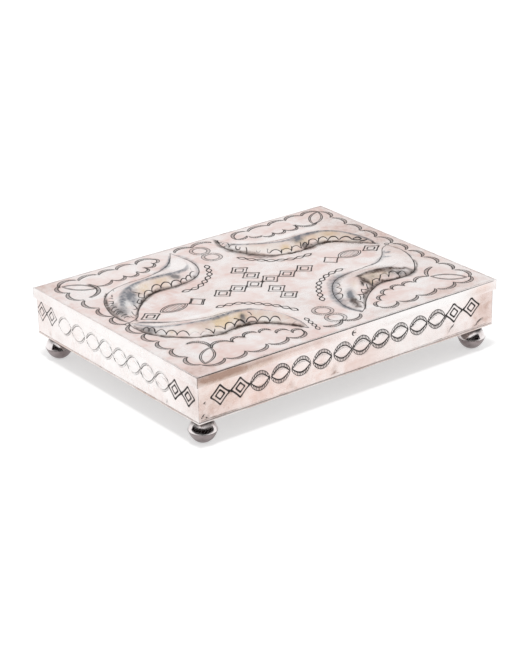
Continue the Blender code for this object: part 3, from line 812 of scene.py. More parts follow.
def oval(middle, weight=1.0, worn=False):
    """Two crescent punches that face each other round an eye-shaped space; worn ones keep opposite ends."""
    u, v = middle
    made = []
    for sign in (1, -1):
        force = weight * chance.uniform(0.85, 1.0)
        strong = ("start" if sign > 0 else "end") if worn else "both"
        half, foot = oval_width / 2, v + sign * oval_part
        places = ((u - half, foot), (u, v + sign * oval_height / 2), (u + half, foot))
        made += crescent(*places, weight=force, strong=strong, tail=0.0 if worn else 0.5, **oval_punch)
        left, right, foot = u - half + eye_inset, u + half - eye_inset, v + sign * eye_part
        eye = hump((left, foot), (u, v + sign * (oval_height / 2 - eye_fall)), (right, foot), 11)
        made.append(stroke(eye, eye_cut, (0.1 if worn else 0.25) * force, 0.4))
    return made


def shifted(places, shift):
    """The places, all moved by one shift."""
    return [(u + shift[0], v + shift[1]) for u, v in places]


def long_wall_strokes():
    """Front and back walls: two double diamonds at each end and ten ovals between them."""
    made = []
    for place in shifted(long_wall_diamonds, long_wall_shift):
        made += diamond(place, **long_wall_punch)
    places = [(u - 0.55 * (number < 3), 9.8 + 0.9 * number / 9) for number, u in enumerate(oval_row)]
    for place in shifted(places, long_wall_shift):
        made += oval(place)
    for place, weight in nicks:
        made.append(stroke((place, (place[0] + nick_run[0], place[1] + nick_run[1])), nick_cut, weight))
    made.append(stroke(arc(*right_scratch[0]), *right_scratch[1:]))
    for points, half_width, shade in foot_lines:
        made.append(stroke(curve_through(points, 9), (half_width, 0.0), shade, 0.3))
    made.append(stroke(arc(*small_scratch[0]), *small_scratch[1:]))
    return made


def short_wall_strokes():
    """Left and right walls: two double diamonds at each end and eight ovals between them."""
    made = []
    for places, punch in ((far_wall_diamonds, far_wall_punch), (near_wall_diamonds, near_wall_punch)):
        for place in shifted(places, short_wall_shift):
            made += diamond(place, **punch)
    for place in shifted([(u, short_oval_level) for u in short_oval_row], short_wall_shift):
        made += oval(place, short_oval_weight, True)
    made.append(stroke(*short_wall_nick))
    return made


# Sheet panels


def drawn_field(strokes, size, cell, of_shade, spread=0.0):
    """Map of how deep, or how dark, the strokes are over a panel.

    Each straight run of a stroke gives strength * (1 - (distance / (half width + spread)) ** 2),
    and where strokes cross the greatest counts.
    """
    rows, columns = (int(math.ceil(s / cell)) + 1 for s in (size[1], size[0]))
    field = np.zeros((rows, columns), dtype=np.float32)
    for points, half_widths, depths, shades in strokes:
        strengths = shades if of_shade else depths
        runs = zip(points, points[1:], half_widths, half_widths[1:], strengths, strengths[1:])
        for first, second, w0, w1, s0, s1 in runs:
            reach = max(w0, w1) + spread
            low = np.floor((np.minimum(first, second) - reach) / cell).astype(int)
            high = np.ceil((np.maximum(first, second) + reach) / cell).astype(int) + 1
            low = np.maximum(low, 0)
            high = np.minimum(high, (columns, rows))
            if np.any(high <= low):
                continue
            u = np.arange(low[0], high[0]) * cell - first[0]
            v = (np.arange(low[1], high[1]) * cell - first[1])[:, None]
            run = second - first
            share = np.clip((u * run[0] + v * run[1]) / max(run @ run, 1e-12), 0.0, 1.0)
            gap = (u - share * run[0]) ** 2 + (v - share * run[1]) ** 2
            width = w0 + (w1 - w0) * share + spread
            mark = (s0 + (s1 - s0) * share) * np.clip(1.0 - gap / width**2, 0.0, 1.0)
            window = field[low[1]:high[1], low[0]:high[0]]
            np.maximum(window, mark, out=window)
    return field


def stroke_rails(points, half_widths):
    """A stroke's middle line and both its edges, and the lines that join their points."""
    offset = sideways(points) * half_widths[:, None]
    count = len(points)
    rails = [run_edges(count) + k * count for k in range(3)]
    caps = np.array(((count, 2 * count), (2 * count - 1, 3 * count - 1)))
    return np.vstack((points, points + offset, points - offset)), np.vstack((*rails, caps))


def lattice(low, high, step):
    """Points of a triangular lattice that fills a rectangle."""
    rise = step * math.sqrt(0.75)
    rows = np.arange(low[1] + rise / 2, high[1], rise)
    made = []
    for number, v in enumerate(rows):
        u = np.arange(low[0] + step * (0.25 + 0.5 * (number % 2)), high[0], step)
        made.append(np.column_stack((u, np.full(len(u), v))))
    return np.vstack(made)


def rectangle(low, high, counts):
    """Points round a rectangle, anticlockwise from its low corner, counts to each pair of sides."""
    across, up = (np.linspace(0.0, 1.0, count + 1)[:-1] for count in counts)
    u = np.concatenate((across, np.ones_like(up), 1 - across, np.zeros_like(up)))
    v = np.concatenate((np.zeros_like(across), up, np.ones_like(across), 1 - up))
    return np.array(low) + np.column_stack((u, v)) * (np.array(high) - np.array(low))


def triangulated(points, edges, epsilon=1e-4):
    """Constrained triangles over points in a plane, anticlockwise, and each first point's new number."""
    made = delaunay_2d_cdt([Vector(p) for p in points.tolist()], edges.tolist(), [], 0, epsilon, True)
    places = np.array([tuple(p) for p in made[0]])
    faces = np.array(made[2])
    a, b, c = (places[faces[:, k]] for k in range(3))
    area = (b[:, 0] - a[:, 0]) * (c[:, 1] - a[:, 1]) - (b[:, 1] - a[:, 1]) * (c[:, 0] - a[:, 0])
    faces[area < 0] = faces[area < 0][:, ::-1]
    faces = faces[np.abs(area) > 1e-9]
    home = np.full(len(points), -1)
    for number, sources in enumerate(made[3]):
        home[sources] = number
    return places, faces, home


def loop_edges(count):
    """Lines that join count points in a closed loop."""
    steps = np.arange(count)
    return np.column_stack((steps, (steps + 1) % count))


def run_edges(count):
    """Lines that join count points in a row."""
    return loop_edges(count)[:-1]


no_edges = np.empty((0, 2), dtype=int)


def gathered(parts):
    """All points and lines of a plan's parts, each part's lines numbered from its own first point."""
    starts = np.cumsum([0] + [len(points) for points, _ in parts])
    edges = [lines + start for (_, lines), start in zip(parts, starts)]
    return np.vstack([points for points, _ in parts]), np.vstack(edges)


def level(places):
    """No height, or no shade, at any place."""
    return np.zeros(len(places))


# Sheet panels: cells of their maps, insets of the lines along their edge, and how the edge falls
map_cell = 0.1
near_cell = map_cell * 3
stroke_margin = 0.42
edge_insets = (0.0, 0.12, 0.4, 0.8)
edge_fall = 0.12
edge_reach = 0.4
field_margin = 1.1
back_margin = 0.6
least_rise = 0.02


def put_in_scene(name, data):
    """An object of the scene that has this mesh, lens or lamp."""
    made = bpy.data.objects.new(name, data)
    bpy.context.scene.collection.objects.link(made)
    return made


def plain_mesh(name, points, faces, material):
    """A mesh of points, in metres, and faces, in one material."""
    data = bpy.data.meshes.new(name)
    data.from_pydata(points, [], faces)
    data.materials.append(material)
    return data


def mesh_piece(name, points, faces, marks, material, sharp=0.7):
    """A mesh object from points and faces, with marks as attributes of its points."""
    data = plain_mesh(name, (points * MM).tolist(), faces, material)
    for label, values in marks.items():
        attribute = data.attributes.new(label, "FLOAT", "POINT")
        attribute.data.foreach_set("value", np.asarray(values, dtype=np.float32))
    data.shade_smooth()
    data.set_sharp_from_angle(angle=sharp)
    return put_in_scene(name, data)


def spot_field(places, spots):
    """Soft spots, given one by one, the strongest counting.

    A spot is (u, v, reach along u, reach along v, strength) and, where it is turned, its degrees.
    """
    total = np.zeros(len(places))
    for u, v, reach_u, reach_v, strength, *turn in spots:
        away = places - (u, v)
        c, s = math.cos(math.radians(sum(turn))), math.sin(math.radians(sum(turn)))
        across = (away[:, 0] * c + away[:, 1] * s) / reach_u
        up = (away[:, 1] * c - away[:, 0] * s) / reach_v
        total = np.maximum(total, strength * np.exp(-(across**2 + up**2)))
    return total


def sheet_panel(
    name, material, origin, along, up, low, high, edge_rings, strokes=(), rise=level, back_rise=level,
    lines=(), step=1.6, fine_step=0.9, back_step=2.5, seam_shade=level, spots=None, tones=None,
    picture_spots=None,
):
    """A closed panel of sheet metal: its punched face, its edge and its plain back.

    The plan is the rectangle low to high. A place (u, v) on the face stands at
    origin + u * along + v * up, raised by rise(u, v) less the depth of the strokes. Edge rings
    (inset, depth, shade) carry the outline from the face to the back, which is raised by
    back_rise(u, v) from the last ring's depth.
    """
    origin, along, up, low, high = (np.array(v, dtype=float) for v in (origin, along, up, low, high))
    outward = np.cross(along, up)
    tones, picture_spots = tones or {}, picture_spots or {}

    def raised(plan, height):
        """Places of the plan at a height over the sheet."""
        return origin + plan[:, :1] * along + plan[:, 1:] * up + height[:, None] * outward

    drawn = [*strokes, *(line for tone_lines in tones.values() for line in tone_lines)]
    wide = [(points, widths, np.ones(len(points)), widths) for points, widths, _, _ in drawn]
    near_strokes = drawn_field(wide, high, near_cell, False, stroke_margin)
    counts = [max(2, int(round(length / step))) for length in high - low]
    outline_edges = loop_edges(2 * sum(counts))
    count = len(outline_edges)
    rows = [(line, run_edges(len(line))) for line in lines]
    parts = [(rectangle(low + inset, high - inset, counts), outline_edges) for inset in edge_insets]
    parts += [stroke_rails(points, half_widths) for points, half_widths, _, _ in drawn]
    field = lattice(low + field_margin, high - field_margin, step)
    if rise is not level:
        fine = lattice(low + field_margin, high - field_margin, fine_step)
        field = np.vstack((field[rise(field) <= least_rise], fine[rise(fine) > least_rise]))
    field = field[read_field(near_strokes, field, near_cell) <= 0.0]
    plan, faces, home = triangulated(*gathered([*parts, *rows, (field, no_edges)]))
    plan = np.clip(plan, low, high)
    border = np.minimum(plan - low, high - plan).min(axis=1)
    rounding = edge_fall * (1.0 - np.clip(border / edge_reach, 0.0, 1.0)) ** 2
    height = -read_field(drawn_field(strokes, high, map_cell, False), plan, map_cell) - rounding + rise(plan)
    oxide = read_field(drawn_field(strokes, high, map_cell, True), plan, map_cell)
    all_points, all_faces, plans = [raised(plan, height)], [faces], [plan]
    # seam_shade adds dark joints, and painted shade on the bottom's underside
    oxides = [np.maximum(oxide, seam_shade(plan))]
    ring = home[:count]
    total = len(plan)
    for inset, depth, dark in edge_rings:
        loop_low, loop_high = low + inset, high - inset
        loop_plan = rectangle(loop_low, loop_high, counts)
        fresh = np.arange(count) + total
        next_ring, next_fresh = np.roll(ring, -1), np.roll(fresh, -1)
        all_points.append(raised(loop_plan, np.full(count, -depth)))
        all_faces.append(np.column_stack((ring, fresh, next_fresh)))
        all_faces.append(np.column_stack((ring, next_fresh, next_ring)))
        plans.append(loop_plan)
        oxides.append(np.full(count, dark))
        ring = fresh
        total += count
    field = lattice(loop_low + back_margin, loop_high - back_margin, back_step)
    back_parts = [(loop_plan, outline_edges), (field, no_edges), *rows]
    back_plan, back_faces, back_home = triangulated(*gathered(back_parts))
    kept = np.ones(len(back_plan), dtype=bool)
    kept[back_home[:count]] = False
    number = np.zeros(len(back_plan), dtype=int)
    number[back_home[:count]] = ring
    number[kept] = np.arange(kept.sum()) + total
    all_points.append(raised(back_plan, back_rise(back_plan) - depth)[kept])
    all_faces.append(number[back_faces][:, ::-1])
    plans.append(back_plan[kept])
    oxides.append(level(back_plan[kept]))
    points, both = np.vstack(all_points), np.vstack(plans)
    order = np.arange(len(points))
    marks = {"oxide": np.concatenate(oxides)}
    # Marks of tarnish and of painted highlights, reflections and shade: spots and tone lines on the plan, and
    # spots placed where the points stand in the picture
    if spots:
        marks["dull"] = order >= total
        for label in mark_tints:
            toned = drawn_field(tones.get(label, ()), high, map_cell, True)
            strength = np.maximum(spot_field(both, spots.get(label, ())), read_field(toned, both, map_cell))
            seen = spot_field(in_picture(points), picture_spots.get(label, ()))
            marks[label] = np.maximum(strength, seen) * (order < len(plan))
    return mesh_piece(name, points, np.vstack(all_faces).tolist(), marks, material)


# Materials


def feed(tree, value, socket):
    """Give a socket a value of its own, or a link from another socket."""
    if isinstance(value, bpy.types.NodeSocket):
        tree.links.new(value, socket)
    else:
        socket.default_value = value


def node(tree, kind, inputs=None, **settings):
    """Add a node, set its properties, and give each named input a value or a link."""
    made = tree.nodes.new(kind)
    for label, value in settings.items():
        setattr(made, label, value)
    for label, value in (inputs or {}).items():
        feed(tree, value, made.inputs[label])
    return made


def maths(tree, operation, first, second=0.5, third=0.5, clamp=False):
    """Result of one sum on values or links."""
    inputs = {0: first, 1: second, 2: third}
    return node(tree, "ShaderNodeMath", inputs, operation=operation, use_clamp=clamp).outputs[0]


def add_share(tree, value, share, more, clamp=False):
    """A value plus a share of another one."""
    return maths(tree, "ADD", value, maths(tree, "MULTIPLY", more, share), clamp=clamp)


def blend_colour(tree, share, first, second):
    """Colour between first and second by a share."""
    made = node(tree, "ShaderNodeMix", data_type="RGBA")
    factor, low, high = (s for s in made.inputs if s.enabled)
    feed(tree, share, factor)
    for value, socket in ((first, low), (second, high)):
        feed(tree, value if isinstance(value, bpy.types.NodeSocket) else (*value, 1.0), socket)
    return [s for s in made.outputs if s.enabled][0]


def eased(tree, value, low, high):
    """The value's place between low and high, eased at both ends."""
    inputs = {"Value": value, 1: low, 2: high}
    return node(tree, "ShaderNodeMapRange", inputs, interpolation_type="SMOOTHSTEP").outputs[0]


def noise(tree, vector, scale, detail, roughness, distortion=0.0):
    """Soft noise, its scale in patches to the metre."""
    inputs = {"Vector": vector, "Scale": scale, "Detail": detail, "Roughness": roughness}
    return node(tree, "ShaderNodeTexNoise", {**inputs, "Distortion": distortion}).outputs[0]


def new_group(name, inputs, output):
    """An empty node group, its named inputs (a vector, or a number and its value), and its one output."""
    tree = bpy.data.node_groups.new(name, "ShaderNodeTree")
    for label, value in inputs:
        kind = "NodeSocketVector" if value is None else "NodeSocketFloat"
        socket = tree.interface.new_socket(name=label, in_out="INPUT", socket_type=kind)
        if value is not None:
            socket.default_value = value
    tree.interface.new_socket(name=output, in_out="OUTPUT", socket_type="NodeSocketFloat")
    return tree, tree.nodes.new("NodeGroupInput").outputs, tree.nodes.new("NodeGroupOutput").inputs[output]


def scaled(tree, vector, factors):
    """A vector stretched by three factors."""
    made = node(tree, "ShaderNodeVectorMath", {0: vector, 1: factors}, operation="MULTIPLY")
    return made.outputs[0]


def make_clouds():
    """Group: soft cloudy mask, as tarnish lies on hand-rubbed sheet, in patches with frayed borders."""
    inputs = (("Vector", None), ("Scale", 60.0), ("Low", 0.4), ("High", 0.65))
    tree, enter, leave = new_group("cloudy tarnish", inputs, "Mask")
    broad = noise(tree, enter["Vector"], enter["Scale"], 5.0, 0.62, 0.5)
    feed(tree, eased(tree, broad, enter["Low"], enter["High"]), leave)
    return tree


def make_rub_marks():
    """Group: fine scratches of hand polishing, along two directions."""
    tree, enter, leave = new_group("rub marks", (("Vector", None), ("Scale", 500.0)), "Height")
    heights = []
    for turn, stretch in ((0.35, (0.06, 1.0, 1.0)), (2.5, (0.08, 1.0, 1.0))):
        inputs = {"Vector": enter["Vector"], "Angle": turn}
        turned_place = node(tree, "ShaderNodeVectorRotate", inputs, rotation_type="Z_AXIS").outputs[0]
        heights.append(noise(tree, scaled(tree, turned_place, stretch), enter["Scale"], 3.0, 0.7))
    feed(tree, maths(tree, "ADD", *heights), leave)
    return tree


def make_worn_oxide():
    """Group: black oxide held in punched lines, rubbed thin here and there."""
    tree, enter, leave = new_group("worn oxide", (("Oxide", 0.0), ("Vector", None), ("Wear", 0.3)), "Mask")
    rubbed = noise(tree, enter["Vector"], 350.0, 3.0, 0.6)
    loss = maths(tree, "MULTIPLY", maths(tree, "SUBTRACT", rubbed, 0.35), enter["Wear"])
    kept = maths(tree, "SUBTRACT", enter["Oxide"], loss)
    feed(tree, eased(tree, kept, 0.03, 0.5), leave)
    return tree


cloudy_tarnish = make_clouds()
rub_marks = make_rub_marks()
worn_oxide = make_worn_oxide()


def group_node(tree, group, **values):
    """Place a shared group in a material with this material's own values."""
    return node(tree, "ShaderNodeGroup", values, node_tree=group).outputs[0]


def attribute(tree, name):
    """A mark that the mesh carries at its points."""
    return node(tree, "ShaderNodeAttribute", attribute_name=name).outputs["Fac"]


# Tints of the marks laid over the silver. Rosy is tarnish; the others are partly tarnish, stains and polish
# and partly painted highlights, painted reflections and painted shade
mark_tints = {
    "highlight_and_polish": (0.97, 0.945, 0.935),
    "rosy": (0.96, 0.72, 0.64),
    "gold_tone_and_reflection": (0.80, 0.64, 0.45),
    "grey_shade_and_smudge": (0.27, 0.25, 0.25),
    "rust_and_shade": (0.43, 0.29, 0.235),
    "slate_shade_and_reflection": (0.20, 0.205, 0.23),
    "umber_painted_shade": (0.085, 0.058, 0.048),
}

# How much the finer patches and the streaks of tarnish add to the broad ones
fine_share = 0.18
streak_share = 0.25

# What tarnish, oxide and a plain back add to the roughness, and what oxide takes from the metal
tarnish_roughness = 0.10
oxide_roughness = 0.35
dull_roughness = 0.3
oxide_cover = 0.75
oxide_wear = 0.35

# Bumps: scratches and shallow dents, to the metre, and how far they stand out, in metres
scratch_scale = 900.0
scratch_reach = 0.0002
dent_scale = 60.0
dent_reach = 0.002
dent_strength = 0.12


def silver_material(
    name, clean, pink, roughness, patch_scale=55.0, pink_share=0.75, marks=True, bump=0.06,
    dark=(0.022, 0.016, 0.014), ragged=0.7,
):
    """Aged silver: clean metal under rosy patches of tarnish, black oxide in the punched lines, and marks
    over it that are partly stains and polish and partly painted highlights, reflections and shade.
    """
    made = bpy.data.materials.new(name)
    made.use_nodes = True
    tree = made.node_tree
    shader = tree.nodes["Principled BSDF"]
    place = node(tree, "ShaderNodeTexCoord").outputs["Object"]
    combed = scaled(tree, place, (0.15, 1.0, 1.0))
    broad = group_node(tree, cloudy_tarnish, Vector=place, Scale=patch_scale, Low=0.36, High=0.68)
    fine = group_node(tree, cloudy_tarnish, Vector=place, Scale=patch_scale * 5, Low=0.42, High=0.7)
    streaky = group_node(tree, cloudy_tarnish, Vector=combed, Scale=patch_scale * 7, Low=0.45, High=0.75)
    rosy = add_share(tree, maths(tree, "MULTIPLY", broad, pink_share), fine_share, fine)
    rosy = add_share(tree, rosy, streak_share, streaky, clamp=True)
    colour = blend_colour(tree, rosy, clean, pink)
    # Marks over the metal: tarnish and polish, and painted highlights, painted reflections and painted shade
    for label, tint in mark_tints.items() if marks else ():
        break_up = maths(tree, "MULTIPLY_ADD", fine, ragged, 1.0 - 0.4 * ragged)
        laid = maths(tree, "MULTIPLY", attribute(tree, label), break_up, clamp=True)
        colour = blend_colour(tree, laid, colour, tint)
    black = group_node(tree, worn_oxide, Oxide=attribute(tree, "oxide"), Vector=place, Wear=oxide_wear)
    feed(tree, blend_colour(tree, black, colour, dark), shader.inputs["Base Color"])
    rough = add_share(tree, roughness, tarnish_roughness, rosy)
    rough = add_share(tree, rough, oxide_roughness, black, clamp=True)
    if marks:
        rough = add_share(tree, rough, dull_roughness, attribute(tree, "dull"), clamp=True)
    feed(tree, rough, shader.inputs["Roughness"])
    bare = maths(tree, "SUBTRACT", 1.0, maths(tree, "MULTIPLY", black, oxide_cover))
    feed(tree, bare, shader.inputs["Metallic"])
    normal = None
    scratches = group_node(tree, rub_marks, Vector=place, Scale=scratch_scale)
    dents = noise(tree, place, dent_scale, 2.0, 0.5)
    for strength, reach, height in ((bump, scratch_reach, scratches), (dent_strength, dent_reach, dents)):
        inputs = {"Strength": strength, "Distance": reach, "Height": height}
        normal = node(tree, "ShaderNodeBump", {**inputs, "Normal": normal} if normal else inputs).outputs[0]
    feed(tree, normal, shader.inputs["Normal"])
    return made


lid_silver = silver_material(
    "lid_silver", (0.88, 0.84, 0.83), (0.80, 0.61, 0.57), roughness=0.25, patch_scale=85.0, pink_share=0.8
)
rim_silver = silver_material(
    "rim_silver", (0.93, 0.89, 0.88), (0.80, 0.62, 0.58), roughness=0.22, patch_scale=80.0, pink_share=0.6,
    ragged=0.3,
)
wall_silver = silver_material(
    "wall_silver", (0.94, 0.885, 0.87), (0.82, 0.64, 0.595), roughness=0.22, patch_scale=60.0, pink_share=0.65
)
# Silver of the bottom plate; its dark colour paints shade on the underside, and oxide at its edge
base_silver = silver_material(
    "base_silver", (0.88, 0.82, 0.80), (0.66, 0.52, 0.47), roughness=0.32, marks=False,
    dark=(0.10, 0.075, 0.065),
)
ball_silver = silver_material(
    "ball_silver", (0.90, 0.86, 0.86), (0.72, 0.62, 0.60), roughness=0.12, patch_scale=130.0,
    pink_share=0.6, marks=False, bump=0.03,
)
# Lower halves of the feet: a darker copy of the ball silver, painted shade, as they face the shadowed floor
# under the box
ball_painted_shade = silver_material(
    "ball_painted_shade", (0.34, 0.295, 0.295), (0.25, 0.20, 0.20), roughness=0.2, patch_scale=160.0,
    pink_share=0.8, marks=False, bump=0.03,
)
tube_silver = silver_material(
    "tube_silver", (0.80, 0.74, 0.71), (0.52, 0.42, 0.38), roughness=0.28, patch_scale=150.0, marks=False
)


# Pieces


def place_piece(piece, body, slot, *nodes):
    """Let a finished piece stand for CAD nodes and move with their body."""
    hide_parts(*nodes)
    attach(piece, body)


lid_corner = (-lid_length / 2, middle_y - lid_width / 2, lid_top)
plate_inset = 0.79
plate_low = np.array((plate_inset, plate_inset))
plate_high = np.array((lid_length, lid_width)) - plate_inset


def lid_seam(plan):
    """Thin dark line where the plate meets the rim, along the front and the left edge."""
    border = np.minimum(plan - plate_low, plate_high - plan).min(axis=1)
    band = np.interp(border, edge_insets, (0.8, 1.0, 0.95, 0.0))
    front = np.clip(3.0 - plan[:, 1], 0.0, 1.0) * np.clip((plan[:, 0] - 8) / 8, 0.25, 1.0)
    left = np.clip(3.0 - plan[:, 0], 0.0, 1.0)
    return band * np.clip(0.16 * front + 0.12 * left, 0.0, 1.0)


def lid_back(places):
    """The plate's underside follows the leaves, a little softened."""
    return leaf_rise(places) * 0.96


# Tarnish and painted highlights on the flat of the lid, in millimetres on it: u, v, reach along u and v,
# strength, turn. The rust-coloured spots are tarnish; the bright spots and streaks are painted highlights and
# polish
lid_spots = {
    "rust_and_shade": (
        (4, 6, 8, 5, 0.4), (4, 116, 6, 5, 0.35), (100, 5, 10, 3, 0.25), (78, 35, 9, 12, 0.12),
        (52, 66, 8, 5, 0.16), (8, 22, 4, 12, 0.12), (110, 6, 6, 2, 0.3), (157, 116, 5, 5, 0.3),
        (152, 76, 13, 44, 0.4), (138, 5, 20, 4, 0.35),
    ),
    "highlight_and_polish": (
        (63, 99, 5, 8, 0.6, 20), (36, 49.5, 16, 1.2, 0.9, -8), (68, 28, 1, 9, 0.6, 5),
        (30, 97.4, 9, 1.4, 0.8, 25), (125, 99, 12, 1.4, 0.8), (60, 55, 14, 7, 0.35), (128, 72, 16, 5, 0.35),
        (35, 108, 14, 5, 0.4), (40, 15, 12, 5, 0.3),
    ),
}
# Painted light and shade on the leaves, in picture pixels: x, y, reach across, reach down, strength, turn.
# The bright spots are painted highlights, the gold ones painted reflections of the warm ceiling, and the
# grey, rust-brown, slate and umber ones painted dark reflections and shade
leaf_spots = {
    "highlight_and_polish": (
        (194, 331, 9, 3.6, 1.0), (264, 320, 5, 1.8, 0.8), (275, 319.5, 4, 2.0, 0.8),
        (288, 320.5, 6, 1.8, 0.5, 5), (155, 325, 14, 1.2, 0.6, -3), (125, 303.6, 4, 3.4, 1.0, -40),
        (127, 291, 14, 1.6, 0.6, -42), (178, 265, 9, 5, 0.6), (149, 294.6, 3, 1.6, 0.5, -30),
        (130, 313.6, 3, 2, 0.7), (134, 303, 2.0, 4.6, 0.5, 20), (263, 249.4, 16, 3.6, 1.0, 2),
        (240, 242.6, 20, 0.8, 0.6, -2), (300, 231, 16, 1.0, 0.6, -12), (345, 287, 4, 8, 0.5),
        (356, 288, 4, 5, 0.6), (350, 303.5, 4, 1.6, 0.8, 25), (372, 265, 20, 1.4, 0.7, -14),
        (392, 259, 10, 6, 0.5, -20), (357, 299, 2.5, 2.5, 0.7),
    ),
    "gold_tone_and_reflection": (
        (222, 321, 12, 6.5, 1.25, -15), (238, 316, 10, 4.4, 1.0, -8), (256, 315.5, 7, 3, 0.5),
        (205, 325, 8, 4, 0.3), (172, 332.6, 3.4, 2, 0.5), (240, 326, 5, 1.4, 0.5, -15),
        (282, 316, 9, 1.6, 0.3, 14), (144, 289, 8, 5.2, 0.75, -20), (160, 281, 11, 4.0, 0.65, -12),
        (166, 285.6, 4, 2.4, 0.55), (157, 288, 3, 1.6, 0.4), (286, 247.6, 5, 3.8, 1.1, -10),
        (301, 241, 8, 4.0, 1.1, -10), (312, 236.6, 8, 3.0, 0.8, -6), (327, 234, 10, 3.4, 0.85),
        (344, 235.4, 7, 1.6, 0.4, 4), (322, 240.4, 5, 1.6, 0.5, -8), (296, 249.4, 5, 1.6, 0.5, -12),
        (346, 240.0, 9, 0.8, 0.4), (373, 275.5, 8, 5, 0.8, -10), (367, 276.6, 6, 3, 0.7),
        (386, 272.4, 7, 2.6, 0.5), (372, 281.6, 3, 3, 0.9), (354, 284, 3, 5, 0.25),
    ),
    "grey_shade_and_smudge": (
        (149, 330.4, 7, 3.0, 1.4, 12), (142, 328.6, 4.5, 1.8, 1.1, 20), (159, 328.2, 8, 1.4, 0.35, -4),
        (160, 332.6, 6, 2, 0.3), (242.4, 316.6, 2.6, 3.0, 1.4), (243.2, 321, 3.0, 2.4, 1.3),
        (196, 323.8, 1.4, 1.0, 0.35), (121, 311.6, 7, 4.2, 1.5, 30), (114.6, 307.0, 3.6, 3.4, 1.1, 40),
        (128, 312, 3, 3, 0.6), (126.6, 308, 1.4, 3.4, 0.6), (136, 300.6, 3, 4, 0.5),
        (175, 276.6, 5, 2.2, 1.4, 6), (178, 281, 3, 1.8, 0.35), (140, 299.6, 3, 2, 0.45),
        (229.2, 247.4, 1.4, 1.2, 0.7), (234, 245, 3, 1.0, 0.6), (297, 238.6, 4.6, 3.4, 0.9),
        (304.4, 244.6, 3.8, 2.6, 1.0), (356.6, 239.2, 4.6, 1.0, 0.8), (364, 239.4, 3, 1.2, 0.6),
        (313, 233.6, 3.4, 1.4, 0.6, -10), (401, 272.4, 8, 3.0, 1.1), (391, 271.4, 7, 2.4, 0.8),
        (409, 271.6, 3.4, 2.4, 0.75), (371, 287, 2.4, 2.6, 0.7), (364, 297, 2, 5, 0.45, 5),
        (345.5, 302.2, 6, 1.8, 0.6, 25), (356, 306.6, 5, 1.6, 0.4, 12), (371, 276.6, 9, 4.4, 0.55, -12),
        (390, 274.6, 9, 2.6, 0.4, -6),
    ),
    "rust_and_shade": (
        (212, 332.4, 6, 1.6, 0.5), (222, 333.8, 6, 1.2, 0.5, -5), (205, 326, 7, 3, 0.15),
        (171.6, 331, 4, 1.2, 0.35), (143, 293.6, 4, 3, 0.35), (136, 290.6, 4, 1.6, 0.3, -20),
        (326, 234.4, 6, 2.2, 0.25), (338, 235, 5, 1.6, 0.2), (243, 255.6, 12, 1.2, 0.35, 12),
        (350, 281, 5, 5, 0.18), (384, 275, 3.4, 1.8, 0.3), (340, 290, 2, 6, 0.2),
        (395, 263, 9, 3.4, 0.12, -10),
    ),
    "slate_shade_and_reflection": (
        (129.6, 295.4, 6, 6, 1.5, -40), (133.4, 300.4, 3.6, 5.4, 1.1, -10), (122, 299, 3.6, 3.6, 0.8),
        (120, 304, 2.4, 3.4, 0.4), (133, 290.4, 2.6, 2, 0.6), (124, 309.6, 4, 1.6, 0.5),
        (298.6, 239.4, 5.2, 2.8, 1.1, -20), (292, 240.6, 4, 1.4, 0.5, -20), (305, 236, 5, 1.4, 0.4, -10),
        (350.3, 294.5, 3.8, 5.2, 1.6, -8), (352.6, 299.4, 2.8, 3.4, 1.5), (346, 299.6, 4, 2, 0.35, 20),
        (205, 322.5, 16, 1.2, 0.3, -6),
    ),
    "umber_painted_shade": (
        (364, 280.4, 4.2, 2.4, 1.6, 20), (362.4, 283.2, 2.2, 2.2, 1.1), (370.8, 285.2, 2.0, 2.2, 1.2),
        (367.6, 282.6, 2, 2, 0.5), (354.8, 301.4, 2.2, 3.2, 1.4, 35), (357.8, 304.6, 1.8, 3.2, 1.4, 35),
        (241.8, 316, 1.4, 1.6, 0.5), (375, 283, 3, 1.4, 0.6, -30), (408, 274.4, 3, 1.2, 0.5, -10),
        (304.4, 245.6, 2, 1.2, 0.5),
    ),
}
